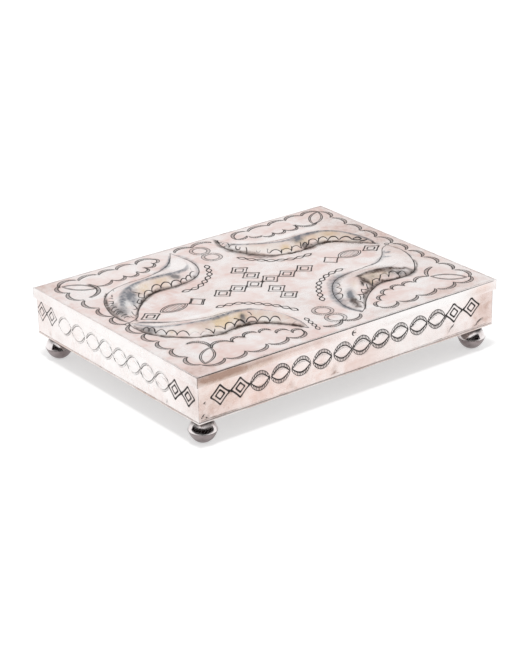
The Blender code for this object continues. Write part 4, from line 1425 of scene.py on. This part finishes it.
# Painted shade and dark reflections along the leaves' edges and marks, in picture pixels: x, y, half width,
# strength
leaf_lines_seen = {
    "umber_painted_shade": (
        (
            (134, 325.5, 0.4, 0.5), (137.5, 328.5, 0.5, 0.6), (142, 330.8, 0.6, 0.7),
            (147, 333.0, 0.7, 0.75), (152, 334.3, 0.6, 0.7), (158, 335.0, 0.5, 0.5), (162, 336.0, 0.8, 0.7),
            (167, 336.8, 0.8, 0.75), (172, 336.8, 0.5, 0.65), (177, 336.9, 0.5, 0.55),
            (182, 337.4, 0.6, 0.75), (188, 337.8, 0.65, 0.8), (194, 337.6, 0.4, 0.6),
            (199, 337.0, 0.3, 0.45), (203, 336.4, 0.5, 0.75), (208, 335.7, 0.6, 0.9),
            (212.5, 335.5, 0.5, 0.85), (216, 334.0, 0.5, 0.6), (220, 333.7, 1.1, 0.55),
            (225, 332.6, 0.9, 0.8), (229, 331.2, 0.8, 0.85), (232, 329.5, 0.9, 0.95), (236, 327.6, 1.1, 1.0),
            (240, 326.2, 1.1, 1.0), (245, 324.8, 1.1, 1.0), (250, 323.8, 1.1, 1.0), (255, 323.0, 0.9, 1.0),
            (260, 322.8, 0.8, 1.0), (265, 322.8, 0.8, 0.95), (270, 323.2, 0.8, 0.95),
            (275, 323.4, 0.9, 0.95), (280, 323.8, 0.8, 0.9), (285, 324.2, 0.7, 0.8), (290, 324.8, 0.7, 0.8),
            (295, 325.5, 0.8, 0.9), (299, 326.1, 0.8, 0.95), (302, 326.6, 0.6, 0.9), (304, 326.6, 0.3, 0.5),
        ),
        (
            (136.5, 320.0, 0.5, 0.6), (136.5, 315, 0.6, 0.75), (138, 310, 0.6, 0.75), (139.8, 306, 0.7, 0.8),
            (141.8, 303, 0.8, 0.9), (144.5, 300, 1.0, 1.0), (147.5, 297.3, 0.9, 1.0),
            (151, 294.5, 0.8, 0.95), (155, 292.3, 0.8, 0.95), (160, 290.3, 1.0, 1.0), (165, 289, 0.9, 1.0),
            (170, 288, 0.8, 0.95), (175, 286.8, 0.8, 0.95), (180, 285.2, 0.7, 0.85), (184, 283.8, 0.9, 0.65),
            (188, 282, 0.8, 0.55), (192, 280, 0.8, 0.5), (195, 277, 1.0, 0.4),
        ),
        (
            (106.2, 294, 0.6, 0.6), (105.5, 298, 0.9, 0.8), (106.5, 303, 1.0, 0.85), (108.5, 308, 1.0, 0.9),
            (112, 312.5, 0.9, 0.85), (116, 316, 0.8, 0.8), (120, 319.5, 0.6, 0.7), (123, 321, 0.5, 0.5),
        ),
        (
            (214.5, 240.5, 0.5, 0.85), (217, 244, 0.6, 0.9), (220, 246.5, 0.6, 0.9), (225, 248.6, 0.6, 0.9),
            (229, 250.4, 1.0, 1.0), (233, 251.3, 0.9, 1.0), (238, 252.4, 0.9, 0.95), (243, 253.2, 1.0, 0.9),
            (248, 254.0, 1.1, 0.85), (253, 254.8, 1.2, 0.85), (258, 255.8, 1.3, 0.75),
            (264, 256.5, 1.3, 0.7), (270, 256.3, 1.0, 0.75), (276, 255.6, 0.6, 0.85), (282, 254.4, 0.4, 0.5),
            (287, 253.6, 0.4, 0.65), (290, 253.2, 0.6, 1.0), (294, 252.6, 0.4, 0.85), (298, 251, 0.4, 0.75),
            (302, 250, 0.35, 0.5), (306, 248.6, 0.9, 0.9), (310, 247.3, 1.2, 1.0), (315, 245.3, 1.1, 1.0),
            (320, 243.6, 1.0, 1.0), (325, 242.3, 0.7, 0.95), (330, 241.8, 0.6, 0.9), (337, 241.3, 0.4, 0.85),
            (345, 241.2, 0.35, 0.75), (352, 241.3, 0.3, 0.65), (360, 241.5, 0.3, 0.55),
            (366, 242.5, 0.4, 0.5), (370, 243.2, 0.4, 0.65), (374, 243, 0.5, 0.75),
        ),
        (
            (365.5, 309, 0.5, 0.7), (364.8, 305, 0.8, 0.75), (364.5, 301, 1.0, 0.75), (365, 297, 1.2, 0.8),
            (366.5, 293.5, 1.1, 0.85), (369, 290.5, 1.0, 0.85), (372, 287.5, 1.0, 0.9),
            (375, 285.3, 1.0, 0.9), (378, 283.3, 1.0, 0.9), (382, 281.7, 1.0, 0.95), (386, 280.7, 0.9, 0.95),
            (390, 280, 0.8, 0.95), (395, 278.8, 0.6, 0.9), (400, 277.4, 0.6, 0.95), (404, 276.3, 0.8, 0.65),
            (408, 274.8, 1.0, 0.75), (411, 273.2, 1.0, 0.9), (414, 271, 0.9, 0.9), (416, 268.5, 0.6, 0.85),
            (417, 265, 0.5, 0.8), (416, 262, 0.4, 0.7), (414, 260, 0.4, 0.7),
        ),
        (
            (356.8, 276.2, 0.6, 1.0), (361, 274.5, 0.6, 0.95), (366, 272.8, 0.7, 0.95),
            (371, 271.2, 0.8, 1.0), (376, 269.9, 0.9, 1.0), (380, 269.2, 1.0, 1.0), (385, 268.7, 1.1, 1.0),
            (390, 268.6, 0.9, 1.0), (395, 268.6, 0.7, 1.0), (401, 268.6, 0.5, 0.95), (406, 268.0, 0.6, 0.9),
            (410, 269.5, 0.7, 0.9),
        ),
        ((356.8, 276.2, 0.5, 0.9), (360, 278, 0.7, 0.95), (362, 280.2, 1.0, 1.0), (366, 281.6, 0.9, 0.9)),
        (
            (352.6, 299.0, 1.3, 0.9), (355, 301.6, 1.2, 1.0), (357.6, 304.6, 1.0, 1.0),
            (360.2, 307.0, 0.5, 0.6),
        ),
    ),
    "slate_shade_and_reflection": (
        (
            (140, 322.4, 0.5, 0.8), (148, 322.6, 0.6, 0.95), (156, 322.6, 0.5, 0.85), (164, 322.4, 0.5, 0.6),
            (170, 322.0, 0.4, 0.4),
        ),
        (
            (195, 277, 1.0, 0.45), (197, 273, 1.1, 0.45), (196.8, 268.5, 0.9, 0.45), (195, 264, 0.8, 0.45),
            (191.5, 261, 0.6, 0.45), (187, 258.5, 0.4, 0.4), (183, 256.8, 0.4, 0.4), (178, 255.5, 0.4, 0.4),
        ),
        (
            (155, 273, 0.5, 0.3), (160, 271.2, 0.6, 0.5), (164.6, 268.2, 0.9, 0.7),
            (167.6, 264.6, 0.9, 0.75), (169, 260, 0.7, 0.75), (168.8, 256, 0.5, 0.6),
        ),
        (
            (352, 271.5, 0.5, 0.4), (345, 274.5, 0.8, 0.55), (339, 277.3, 1.6, 0.7), (335, 281, 1.8, 0.75),
            (332.5, 286, 2.2, 0.8), (332.5, 291, 2.2, 0.85), (334.5, 296, 2.0, 0.9),
            (337.5, 300.5, 1.7, 0.95), (341.5, 304.5, 1.0, 0.9), (346, 307.3, 0.8, 0.85),
            (351, 309, 0.7, 0.75), (356, 310.3, 0.6, 0.75), (361, 311, 0.5, 0.6),
        ),
        (
            (384, 250.5, 0.5, 0.5), (383, 255, 0.6, 0.6), (380.5, 259, 0.8, 0.55), (377, 262, 0.6, 0.5),
            (372, 264.5, 0.4, 0.4),
        ),
        ((385, 252.6, 0.6, 0.7), (388.4, 252.2, 0.6, 0.8)),
        ((384.6, 256.8, 0.6, 0.7), (387.6, 256.6, 0.6, 0.8)),
        ((411, 256, 0.4, 0.4), (407, 252.5, 0.3, 0.3), (402, 250, 0.3, 0.2)),
    ),
}
# Painted shade along each leaf's ridge, station by station: half width and strength
ridge_tones = {
    "front_left": (
        (0.3, 0.0), (1.0, 0.7), (1.3, 0.8), (1.2, 0.8), (1.3, 0.9), (1.5, 1.0), (1.5, 1.0), (1.3, 1.0),
        (1.1, 1.0), (0.9, 1.0), (0.8, 0.9), (0.4, 0.3),
    ),
    "back_left": (
        (0.3, 0.0), (0.5, 0.2), (1.2, 0.7), (2.2, 1.0), (2.4, 1.0), (1.6, 1.0), (1.5, 1.0), (1.8, 1.0),
        (1.3, 0.9), (0.6, 0.3), (0.3, 0.0), (0.3, 0.0),
    ),
    "back_right": (
        (0.4, 0.6), (0.8, 0.95), (0.9, 1.0), (0.8, 1.0), (1.0, 1.0), (1.4, 1.0), (1.2, 1.0), (0.8, 0.95),
        (0.6, 0.8), (0.5, 0.65), (0.4, 0.4), (0.3, 0.0),
    ),
    "front_right": (
        (0.3, 0.0), (0.3, 0.0), (0.3, 0.0), (0.3, 0.0), (0.5, 0.4), (0.6, 0.6), (0.5, 0.4), (0.3, 0.0),
        (0.3, 0.0), (0.3, 0.0), (0.3, 0.0), (0.3, 0.0),
    ),
}


def lid_tones():
    """Lines of painted shade and reflection on the lid: along the leaves' edges, over their sides and along
    their ridges.
    """
    made = {label: [tone_line(rows) for rows in lines] for label, lines in leaf_lines_seen.items()}
    for name, rows in ridge_tones.items():
        crest = leaf_lines(name)[2]
        widths, strengths = curve_through(rows, len(crest)).T
        strengths = np.clip(strengths, 0.0, 1.0)
        made["slate_shade_and_reflection"].append((crest, np.maximum(widths, 0.1), np.zeros(len(crest)), strengths))
    return made


def crest_lines():
    """Lines along each leaf's ridge and at both sides of it, for the mesh to follow."""
    made = []
    for name in leaf_tables:
        outer, inner, crest = leaf_lines(name)[:3]
        for share in (-0.22, -0.08, 0.0, 0.08, 0.22):
            made.append((crest + (outer - inner) / 2 * share)[2:-2])
    return made


# Edge rings: inset, or insets of the ends and of the long edges, then depth and shade
plate_rings = ((0.0, 0.25, 0.1), (0.1, 0.6, 0.12), (0.1, plate_thickness, 0.1))
lid_sheet = sheet_panel(
    "lid_sheet", lid_silver, lid_corner, (1, 0, 0), (0, 1, 0), plate_low, plate_high, plate_rings,
    lid_strokes(), leaf_rise, lid_back, crest_lines(), seam_shade=lid_seam, spots=lid_spots,
    tones=lid_tones(), picture_spots=leaf_spots,
)
place_piece(lid_sheet, "lid", "sheet_silver", "lid_plate")


def strip_rings(thickness):
    """Edge rings of a strip whose two ends are cut at 45 degrees, so each ring's ends go in by its depth."""
    depths = (0.18, thickness - 0.12, thickness)
    return [((depth, 0.0 if depth < thickness else 0.1), depth, 0.2) for depth in depths]


# Each side's left corner and the way it runs, seen from outside, and the side that it is stamped like
sides = {
    "front": ((-1, -1), (1, 0, 0), "front"),
    "right": ((1, -1), (0, 1, 0), "left"),
    "back": ((1, 1), (-1, 0, 0), "front"),
    "left": ((-1, 1), (0, -1, 0), "left"),
}


bead_place = (lid_length / 2, rim_depth - bead_drop)


def bead_rise(places):
    """The small round bead of the front rim: half a ball, flattened to its own height."""
    away = np.hypot(places[:, 0] - bead_place[0], places[:, 1] - bead_place[1]) / bead_radius
    return bead_height * np.sqrt(np.clip(1.0 - away**2, 0.0, 1.0))


# Lines on the front rim, painted shade at the bead's left side and a dark seam: half width and depth, and how
# far the seam runs from the edges
bead_shade_cut = (0.4, 0.0)
bead_shade_gap = 0.05
rim_seam_cut = (0.24, 0.0)
rim_seam_fall = 0.34
rim_seam_insets = (4.0, 2.0)


def front_rim_strokes():
    """Painted shade at the left side of the bead, and the dark seam under the strip's top edge."""
    turn = np.linspace(0.6 * math.pi, 1.4 * math.pi, 9)
    # Painted shade: a dark arc round the bead's left side
    hollow = circle_points(bead_place, bead_radius + bead_shade_gap, turn)
    height = rim_depth - rim_seam_fall
    seam = np.linspace((rim_seam_insets[0], height), (lid_length - rim_seam_insets[1], height), 9)
    return [stroke(hollow, bead_shade_cut, 0.6, 0.5), stroke(seam, rim_seam_cut, 0.6, 0.4)]


def corner_seam(length, strength):
    """Dark line of solder at both mitred ends of a strip."""

    def shade(plan):
        """Falls evenly from each end to nothing."""
        border = np.minimum(plan[:, 0], length - plan[:, 0])
        return strength * np.clip(1.0 - border / 0.35, 0.0, 1.0)

    return shade


# Tarnish and painted light on the strips and walls, in millimetres on them: u, v, reach along, reach up,
# strength. Rosy and rust-coloured spots are tarnish, though the broad low rust of the front wall also paints
# shade; the dark grey spots along the walls' feet are smudges and painted shade; the bright spots are painted
# highlights, along the front rim's top edge and over the whole of the left side
rim_spots = {
    "front": {
        "rust_and_shade": (
            (13, 2.6, 17, 2.4, 1.35), (32, 2.9, 16, 1.4, 0.85), (54, 2.9, 16, 1.2, 0.45),
            (2, 3.0, 2.6, 2.0, 0.9), (150, 1.6, 9, 1.5, 0.3), (66, 2.2, 6, 1.0, 0.25),
            (110, 1.0, 14, 0.7, 0.15),
        ),
        "grey_shade_and_smudge": ((0.8, 3.6, 0.7, 0.6, 0.9), (2.0, 3.7, 2.6, 0.6, 0.5), (28, 2.3, 9, 0.35, 0.5, -1)),
        "gold_tone_and_reflection": ((18, 1.2, 20, 1.2, 0.35),),
        "rosy": ((36, 2.6, 40, 2.6, 0.45), (151, 2.6, 6, 3.0, 0.6), (76, 2.4, 10, 2.0, 0.25)),
        # Painted highlights: along the rim's top edge and over its right part
        "highlight_and_polish": ((80, 4.7, 90, 0.6, 1.0), (124, 2.4, 44, 3.6, 1.3)),
    },
    "left": {
        "rust_and_shade": ((6, 2.0, 8, 1.6, 0.15), (118, 1.6, 4, 1.6, 0.3)),
        "grey_shade_and_smudge": (),
        "gold_tone_and_reflection": (),
        # Painted highlight over the whole strip
        "highlight_and_polish": ((58, 2.4, 60, 4.6, 1.0),),
    },
}
wall_spots = {
    "front": {
        # Rust; the broad low spots also paint shade
        "rust_and_shade": (
            (8, 5, 18, 8, 0.36), (2, 2, 2.4, 3, 0.7), (147, 3.4, 2.6, 2.6, 0.4), (46.5, 2.2, 1.6, 2.2, 0.6),
            (68.6, 2.6, 1.0, 2.4, 0.75), (152, 7, 6, 9, 0.5), (150, 1.5, 6, 2, 0.5), (12, 17, 16, 2, 0.4),
            (132, 3, 3, 3, 0.35), (100, 2, 8, 2, 0.15), (30, 2, 12, 3, 0.2), (84, 3, 2, 3, 0.15),
            (60, 3, 60, 6, 0.13), (130, 2, 30, 4, 0.14),
        ),
        # Dark spots along the wall's foot: painted shade and smudges
        "grey_shade_and_smudge": (
            (3.4, 1.4, 2.2, 0.8, 0.6), (10, 0.0, 12, 0.6, 0.6), (40, -0.1, 30, 0.35, 0.25),
            (146, -0.2, 5, 0.5, 0.6), (68.8, 1.8, 0.6, 1.2, 0.5),
        ),
        "gold_tone_and_reflection": ((8, 12, 10, 6, 0.14),),
        "rosy": (
            (30, 4.5, 34, 7, 0.55), (12, 12, 16, 8, 0.35), (62, 4, 9, 5, 0.5), (46, 3, 5, 4, 0.5),
            (78, 4, 14, 4, 0.3), (152, 8, 8, 10, 0.4),
        ),
        # Painted highlights
        "highlight_and_polish": ((104, 13, 44, 6, 0.6), (110, 3, 26, 4, 0.6), (70, 5, 24, 4, 0.35), (55, 15, 20, 2, 0.4)),
    },
    "left": {
        "rust_and_shade": ((8, 12, 7, 7, 0.2), (114, 7, 5, 9, 0.25), (9.6, 1.8, 0.8, 1.8, 0.5), (17, 2, 4, 2, 0.2)),
        "grey_shade_and_smudge": ((96.2, 1.3, 0.5, 0.8, 0.5), (108, 1.0, 0.6, 0.5, 0.5)),
        "gold_tone_and_reflection": (),
        # Painted highlight over the whole wall
        "highlight_and_polish": ((58, 9, 56, 20, 1.0),),
    },
}
strip_gap = 0.02
wall_reach_down = 0.24


def make_sides():
    """The four walls and the four strips of the lid's rim."""
    for side, (corner, along, like) in sides.items():
        long_side = like == "front"
        run = lid_length if long_side else lid_width
        origin = (corner[0] * lid_length / 2, middle_y + corner[1] * lid_width / 2, lid_top - rim_depth)
        rim = sheet_panel(
            "rim_strip_" + side, rim_silver, origin, along, (0, 0, 1), (strip_gap, 0.0),
            (run - strip_gap, rim_depth), strip_rings(rim_thickness),
            front_rim_strokes() if side == "front" else (), bead_rise if side == "front" else level,
            seam_shade=corner_seam(run, 0.4), spots=rim_spots[like], step=1.2, fine_step=0.22, back_step=2.0,
        )
        place_piece(rim, "lid", "sheet_silver", "lid_rim_" + side)
        run -= 2 * rim_overhang
        origin = (
            corner[0] * (lid_length / 2 - rim_overhang),
            middle_y + corner[1] * (lid_width / 2 - rim_overhang),
            wall_bottom,
        )
        wall = sheet_panel(
            "wall_sheet_" + side, wall_silver, origin, along, (0, 0, 1), (strip_gap, -wall_reach_down),
            (run - strip_gap, wall_top - wall_bottom), strip_rings(wall_thickness),
            long_wall_strokes() if long_side else short_wall_strokes(),
            seam_shade=corner_seam(run, 0.28), spots=wall_spots[like], back_step=3.0,
        )
        place_piece(wall, "case", "sheet_silver", "wall_" + side)


make_sides()


bottom_inset = 0.06
bottom_rings = (
    (-bottom_inset, 0.2, 0.08),
    (-bottom_inset, bottom_thickness - 0.25, 0.12),
    (0.1, bottom_thickness, 0.25),
)


def make_bottom():
    """The bottom plate, its underside outwards, with a softly rounded edge."""
    length, width = lid_length - 2 * rim_overhang, lid_width - 2 * rim_overhang

    # Painted shade under the box, laid through the oxide mark
    def tarnish(plan):
        """Painted shade: the underside is darkened, right up to its rounded edge."""
        border = np.minimum(plan, (length, width) - plan).min(axis=1)
        return 0.36 * np.clip((border - 0.3) / 0.4, 0.0, 1.0)

    bottom = sheet_panel(
        "bottom_sheet", base_silver, (-length / 2, middle_y + width / 2, underside), (1, 0, 0), (0, -1, 0),
        (bottom_inset, bottom_inset), (length - bottom_inset, width - bottom_inset), bottom_rings,
        step=3.0, back_step=4.0, seam_shade=tarnish,
    )
    place_piece(bottom, "case", "sheet_silver", "bottom_plate")


make_bottom()


def turned(name, profile, steps, middle, material, marks, axis_x=False):
    """A profile of (radius, height) turned round an upright axis, or round one along X.

    Point k at angle a stands at (radius * cos a, radius * sin a, height). A zero radius is one
    point of the axis, and a profile that starts off the axis is closed from its end to its start.
    """
    angles = np.linspace(0.0, 2 * math.pi, steps, endpoint=False)
    points, faces, values, rings = [], [], [], []
    count = 0
    for (radius, height), mark in zip(profile, marks):
        here = angles if radius > 1e-6 else angles[:1]
        across, down = radius * np.cos(here), radius * np.sin(here)
        points.append(np.column_stack((across, down, np.full(len(here), height))))
        values.append(np.full(len(here), mark))
        rings.append(np.arange(steps) % len(here) + count)
        count += len(here)
    above = rings[1:] + rings[:1] if profile[0][0] > 1e-6 else rings[1:]
    for lower, upper in zip(rings, above):
        corners = [lower, np.roll(lower, -1), np.roll(upper, -1), upper]
        if lower[0] == lower[1]:
            corners.pop(1)
        elif upper[0] == upper[1]:
            corners.pop(2)
        faces += np.column_stack(corners).tolist()
    points = np.vstack(points)[:, (2, 0, 1) if axis_x else (0, 1, 2)] + np.array(middle)
    # The marks go into the oxide attribute: oxide on the hinge, painted shade on the ball feet
    return mesh_piece(name, points, faces, {"oxide": np.concatenate(values)}, material, 0.9)


# Ball feet: where their halves meet, how far the halves' profiles start from the pole and end short
# of the widest line, the gap between the halves, the lip of the lower one, and the shell's inside
ball_top = underside - 0.02
ball_middle = 5.35
ball_start = math.radians(13.0)
ball_open = math.radians(74.0)
ball_gap = 0.04
ball_lip = 0.08
lip_reach = 0.05
ball_inset = 0.1
shell_share = 0.86
cup_edge_share = 0.93


def make_foot(corner, side_x, side_y):
    """A ball foot: two domed halves with a lip at the widest line.

    Each half is a quarter ellipse from the pole to the lip, then the inside of the cup back to the
    pole. Painted shade is darkest at the poles, where the halves meet the box above and the floor
    below, and the hidden cups are painted dark too.
    """
    middle = (
        side_x * (lid_length / 2 - rim_overhang - foot_inset),
        middle_y + side_y * (lid_width / 2 - rim_overhang - foot_inset),
        0.0,
    )
    angle = np.linspace(ball_start, ball_open, 26)
    fall = (np.cos(angle) - math.cos(ball_open)) / (math.cos(ball_start) - math.cos(ball_open))
    for half, sign, reach, lip, most, reach_down, silver in (
        ("lower", -1, ball_middle, ball_lip, 0.35, 0.22, ball_painted_shade),
        ("upper", 1, ball_top - ball_middle, 0.0, 1.0, 0.52, ball_silver),
    ):
        rise = (reach - ball_gap) * fall + ball_gap
        radius = (foot_radius - ball_inset) * np.sin(angle) / math.sin(ball_open)
        radius = radius + lip * np.exp(-((angle - ball_open) / lip_reach) ** 2)
        # Painted shade: darkest at the pole, where the ball meets the box or the floor
        dark = most * np.exp(-((angle - ball_start) / reach_down) ** 2)
        outer = list(zip(radius, rise, dark))
        inner = [(r * shell_share, h * shell_share, 0.6) for r, h, _ in outer[::-1][:-1]]
        profile = [(0.0, outer[0][1], dark[0]), *outer, (outer[-1][0] * cup_edge_share, ball_gap, 0.8)]
        profile += [*inner, (0.0, inner[-1][1], 0.6)]
        points = [(r, ball_middle + sign * h) for r, h, _ in profile][::-sign]
        marks = [m for _, _, m in profile][::-sign]
        foot = turned("ball_" + corner + "_" + half, points, 72, middle, silver, marks)
        place_piece(foot, "case", "polished_silver", "foot_" + corner + "_" + half)


for corner_name, corner_x, corner_y in (
    ("front_left", -1, -1), ("front_right", 1, -1), ("back_left", -1, 1), ("back_right", 1, 1),
):
    make_foot(corner_name, corner_x, corner_y)


# Hinge: gap between knuckles and in their bores, and how the knuckles' and the pin's ends are rounded
knuckle_gap = 0.16
bore_gap = 0.12
knuckle_round = ((0.3, 0.0), (0.06, 0.1), (0.0, 0.35))
knuckle_marks = (0.8, 0.5, 0.15, 0.0)
pin_overhang = 0.46
pin_round = ((0.6, 0.08), (1.0, 0.3))


def there_and_back(half_profile):
    """A profile of (radius, height) up to its middle at height 0, and its mirror image beyond it."""
    return [*half_profile, *((radius, -height) for radius, height in half_profile[-2::-1])]


def make_hinge():
    """Five rolled knuckles and the pin, whose ends are hammered into small domes."""
    pitch = hinge_length / knuckle_count
    half = (pitch - knuckle_gap) / 2
    start = [(knuckle_radius - inset, -half + run) for inset, run in knuckle_round]
    profile = there_and_back([(pin_radius + bore_gap, -half), *start, (knuckle_radius, 0.0)])
    marks = (*knuckle_marks, 0.0, *knuckle_marks[::-1])
    for number in range(knuckle_count):
        owner = "lid" if number % 2 else "case"
        middle = ((number + 0.5) * pitch - hinge_length / 2, hinge_y, hinge_z)
        label = "knuckle_" + owner + "_" + str(number // 2 + 1)
        knuckle = turned(label, profile, 48, middle, tube_silver, marks, axis_x=True)
        place_piece(knuckle, owner, "tube_silver", "hinge_" + label)
    end = hinge_length / 2 + pin_overhang
    start = [(pin_radius * share, -end + run) for share, run in pin_round]
    profile = there_and_back([(0.0, -end), *start, (pin_radius, 0.0)])
    pin = turned("pin", profile, 32, (0.0, hinge_y, hinge_z), tube_silver, (0.1,) * len(profile), axis_x=True)
    place_piece(pin, "case", "tube_silver", "hinge_pin")


make_hinge()


near_clip, far_clip = 0.05, 20.0


def make_camera():
    """The camera looks at the lid's middle from the azimuth and elevation, rolled and moved aside."""
    turn, eye = camera_pose()
    lens = bpy.data.cameras.new("camera")
    camera = put_in_scene("camera", lens)
    pose = Matrix(turn.tolist()).to_4x4()
    pose.translation = Vector(eye * MM)
    camera.matrix_world = pose
    lens.lens = focal_pixels * lens.sensor_width / image_height
    lens.clip_start = near_clip
    lens.clip_end = far_clip
    bpy.context.scene.camera = camera


make_camera()


# Floor, world and lamps


def shown_directly(tree):
    """1 for rays from the camera, from gloss and through glass, 0 for soft light."""
    path = node(tree, "ShaderNodeLightPath").outputs
    seen = maths(tree, "ADD", path["Is Camera Ray"], path["Is Glossy Ray"])
    return maths(tree, "ADD", seen, path["Is Transmission Ray"], clamp=True)


# Floor: how far it reaches, in metres, its grey, how much it glows, and how much less in metal
floor_reach = 2.0
floor_plain = (0.8, 0.8, 0.8, 1.0)
floor_shaded = (0.75, 0.75, 0.75, 1.0)
floor_glow = 0.535
glow_lost_in_metal = 0.10


def make_floor():
    """A large pale floor that glows a little where it is seen, so that it is white but keeps its shadow."""
    paint = bpy.data.materials.new("floor_white")
    paint.use_nodes = True
    paint.cycles.emission_sampling = "NONE"
    tree = paint.node_tree
    tree.nodes.clear()
    plain = node(tree, "ShaderNodeBsdfDiffuse", {"Color": floor_plain})
    shaded = node(tree, "ShaderNodeBsdfDiffuse", {"Color": floor_shaded})
    in_metal = node(tree, "ShaderNodeLightPath").outputs["Is Glossy Ray"]
    glow = maths(tree, "SUBTRACT", floor_glow, maths(tree, "MULTIPLY", in_metal, glow_lost_in_metal))
    glowing = node(tree, "ShaderNodeEmission", {"Color": (1.0, 1.0, 1.0, 1.0), "Strength": glow})
    both = node(tree, "ShaderNodeAddShader", {0: shaded.outputs[0], 1: glowing.outputs[0]})
    inputs = {0: shown_directly(tree), 1: plain.outputs[0], 2: both.outputs[0]}
    pick = node(tree, "ShaderNodeMixShader", inputs)
    node(tree, "ShaderNodeOutputMaterial", {"Surface": pick.outputs[0]})
    corners = [(x * floor_reach, y * floor_reach, 0) for x, y in ((-1, -1), (1, -1), (1, 1), (-1, 1))]
    put_in_scene("floor", plain_mesh("floor", corners, [(0, 1, 2, 3)], paint))


make_floor()


white = (1.0, 1.0, 1.0)
warm_ceiling = (0.88, 0.84, 0.79)
ceiling_heights = (0.80, 0.96)


def make_world():
    """White studio with a slightly warm ceiling, which polished metal mirrors. Its soft light is even."""
    world = bpy.data.worlds.new("studio")
    world.use_nodes = True
    world.cycles.sampling_method = "NONE"
    bpy.context.scene.world = world
    tree = world.node_tree
    tree.nodes.clear()
    direction = node(tree, "ShaderNodeTexCoord").outputs["Generated"]
    height = node(tree, "ShaderNodeSeparateXYZ", {0: direction}).outputs["Z"]
    colour = blend_colour(tree, eased(tree, height, *ceiling_heights), white, warm_ceiling)
    path = node(tree, "ShaderNodeLightPath").outputs
    mirrored = maths(tree, "SUBTRACT", shown_directly(tree), path["Is Camera Ray"], clamp=True)
    colour = blend_colour(tree, mirrored, white, colour)
    strength = maths(tree, "MULTIPLY_ADD", shown_directly(tree), 0.5, 0.5)
    sky = node(tree, "ShaderNodeBackground", {"Color": colour, "Strength": strength})
    node(tree, "ShaderNodeOutputWorld", {"Surface": sky.outputs[0]})


make_world()


card_black = (0.012, 0.008, 0.008, 1.0)
card_away = 110.0
card_cut = 70.0
card_right_end = 150.0
card_heights = (8.0, 84.0)


def make_card():
    """A low black card that stands round the near corner of the table, in front and at the left.

    Only mirrored rays see it. It gives the ball feet their dark middles.
    """
    front, side = middle_y - lid_width / 2 - card_away, -lid_length / 2 - card_away
    places = ((card_right_end, front), (side + card_cut, front), (side, front + card_cut), (side, card_cut))
    points = [(x * MM, y * MM, z * MM) for x, y in places for z in card_heights]
    faces = [(k, k + 2, k + 3, k + 1) for k in (0, 2, 4)]
    paint = bpy.data.materials.new("card_black")
    paint.use_nodes = True
    shader = paint.node_tree.nodes["Principled BSDF"]
    shader.inputs["Base Color"].default_value = card_black
    shader.inputs["Specular IOR Level"].default_value = 0.0
    card = put_in_scene("card", plain_mesh("card", points, faces, paint))
    card.visible_camera = False
    card.visible_diffuse = False
    card.visible_shadow = False
    card.visible_transmission = False


make_card()


def make_lamp(name, place, size, power):
    """A square soft lamp that points at the box."""
    data = bpy.data.lights.new(name, "AREA")
    data.size = size
    data.energy = power
    lamp = put_in_scene(name, data)
    lamp.location = place
    lamp.rotation_mode = "QUATERNION"
    lamp.rotation_quaternion = Vector(place).to_track_quat("Z", "Y")
    lamp.visible_glossy = False


# The lamp's place and size in metres, and its power in watts
lamp_place = (-0.42, -0.38, 3.0)
lamp_size = 0.44
lamp_power = 31.0


make_lamp("overhead", lamp_place, lamp_size, lamp_power)

bpy.context.scene.view_settings.view_transform = "Standard"
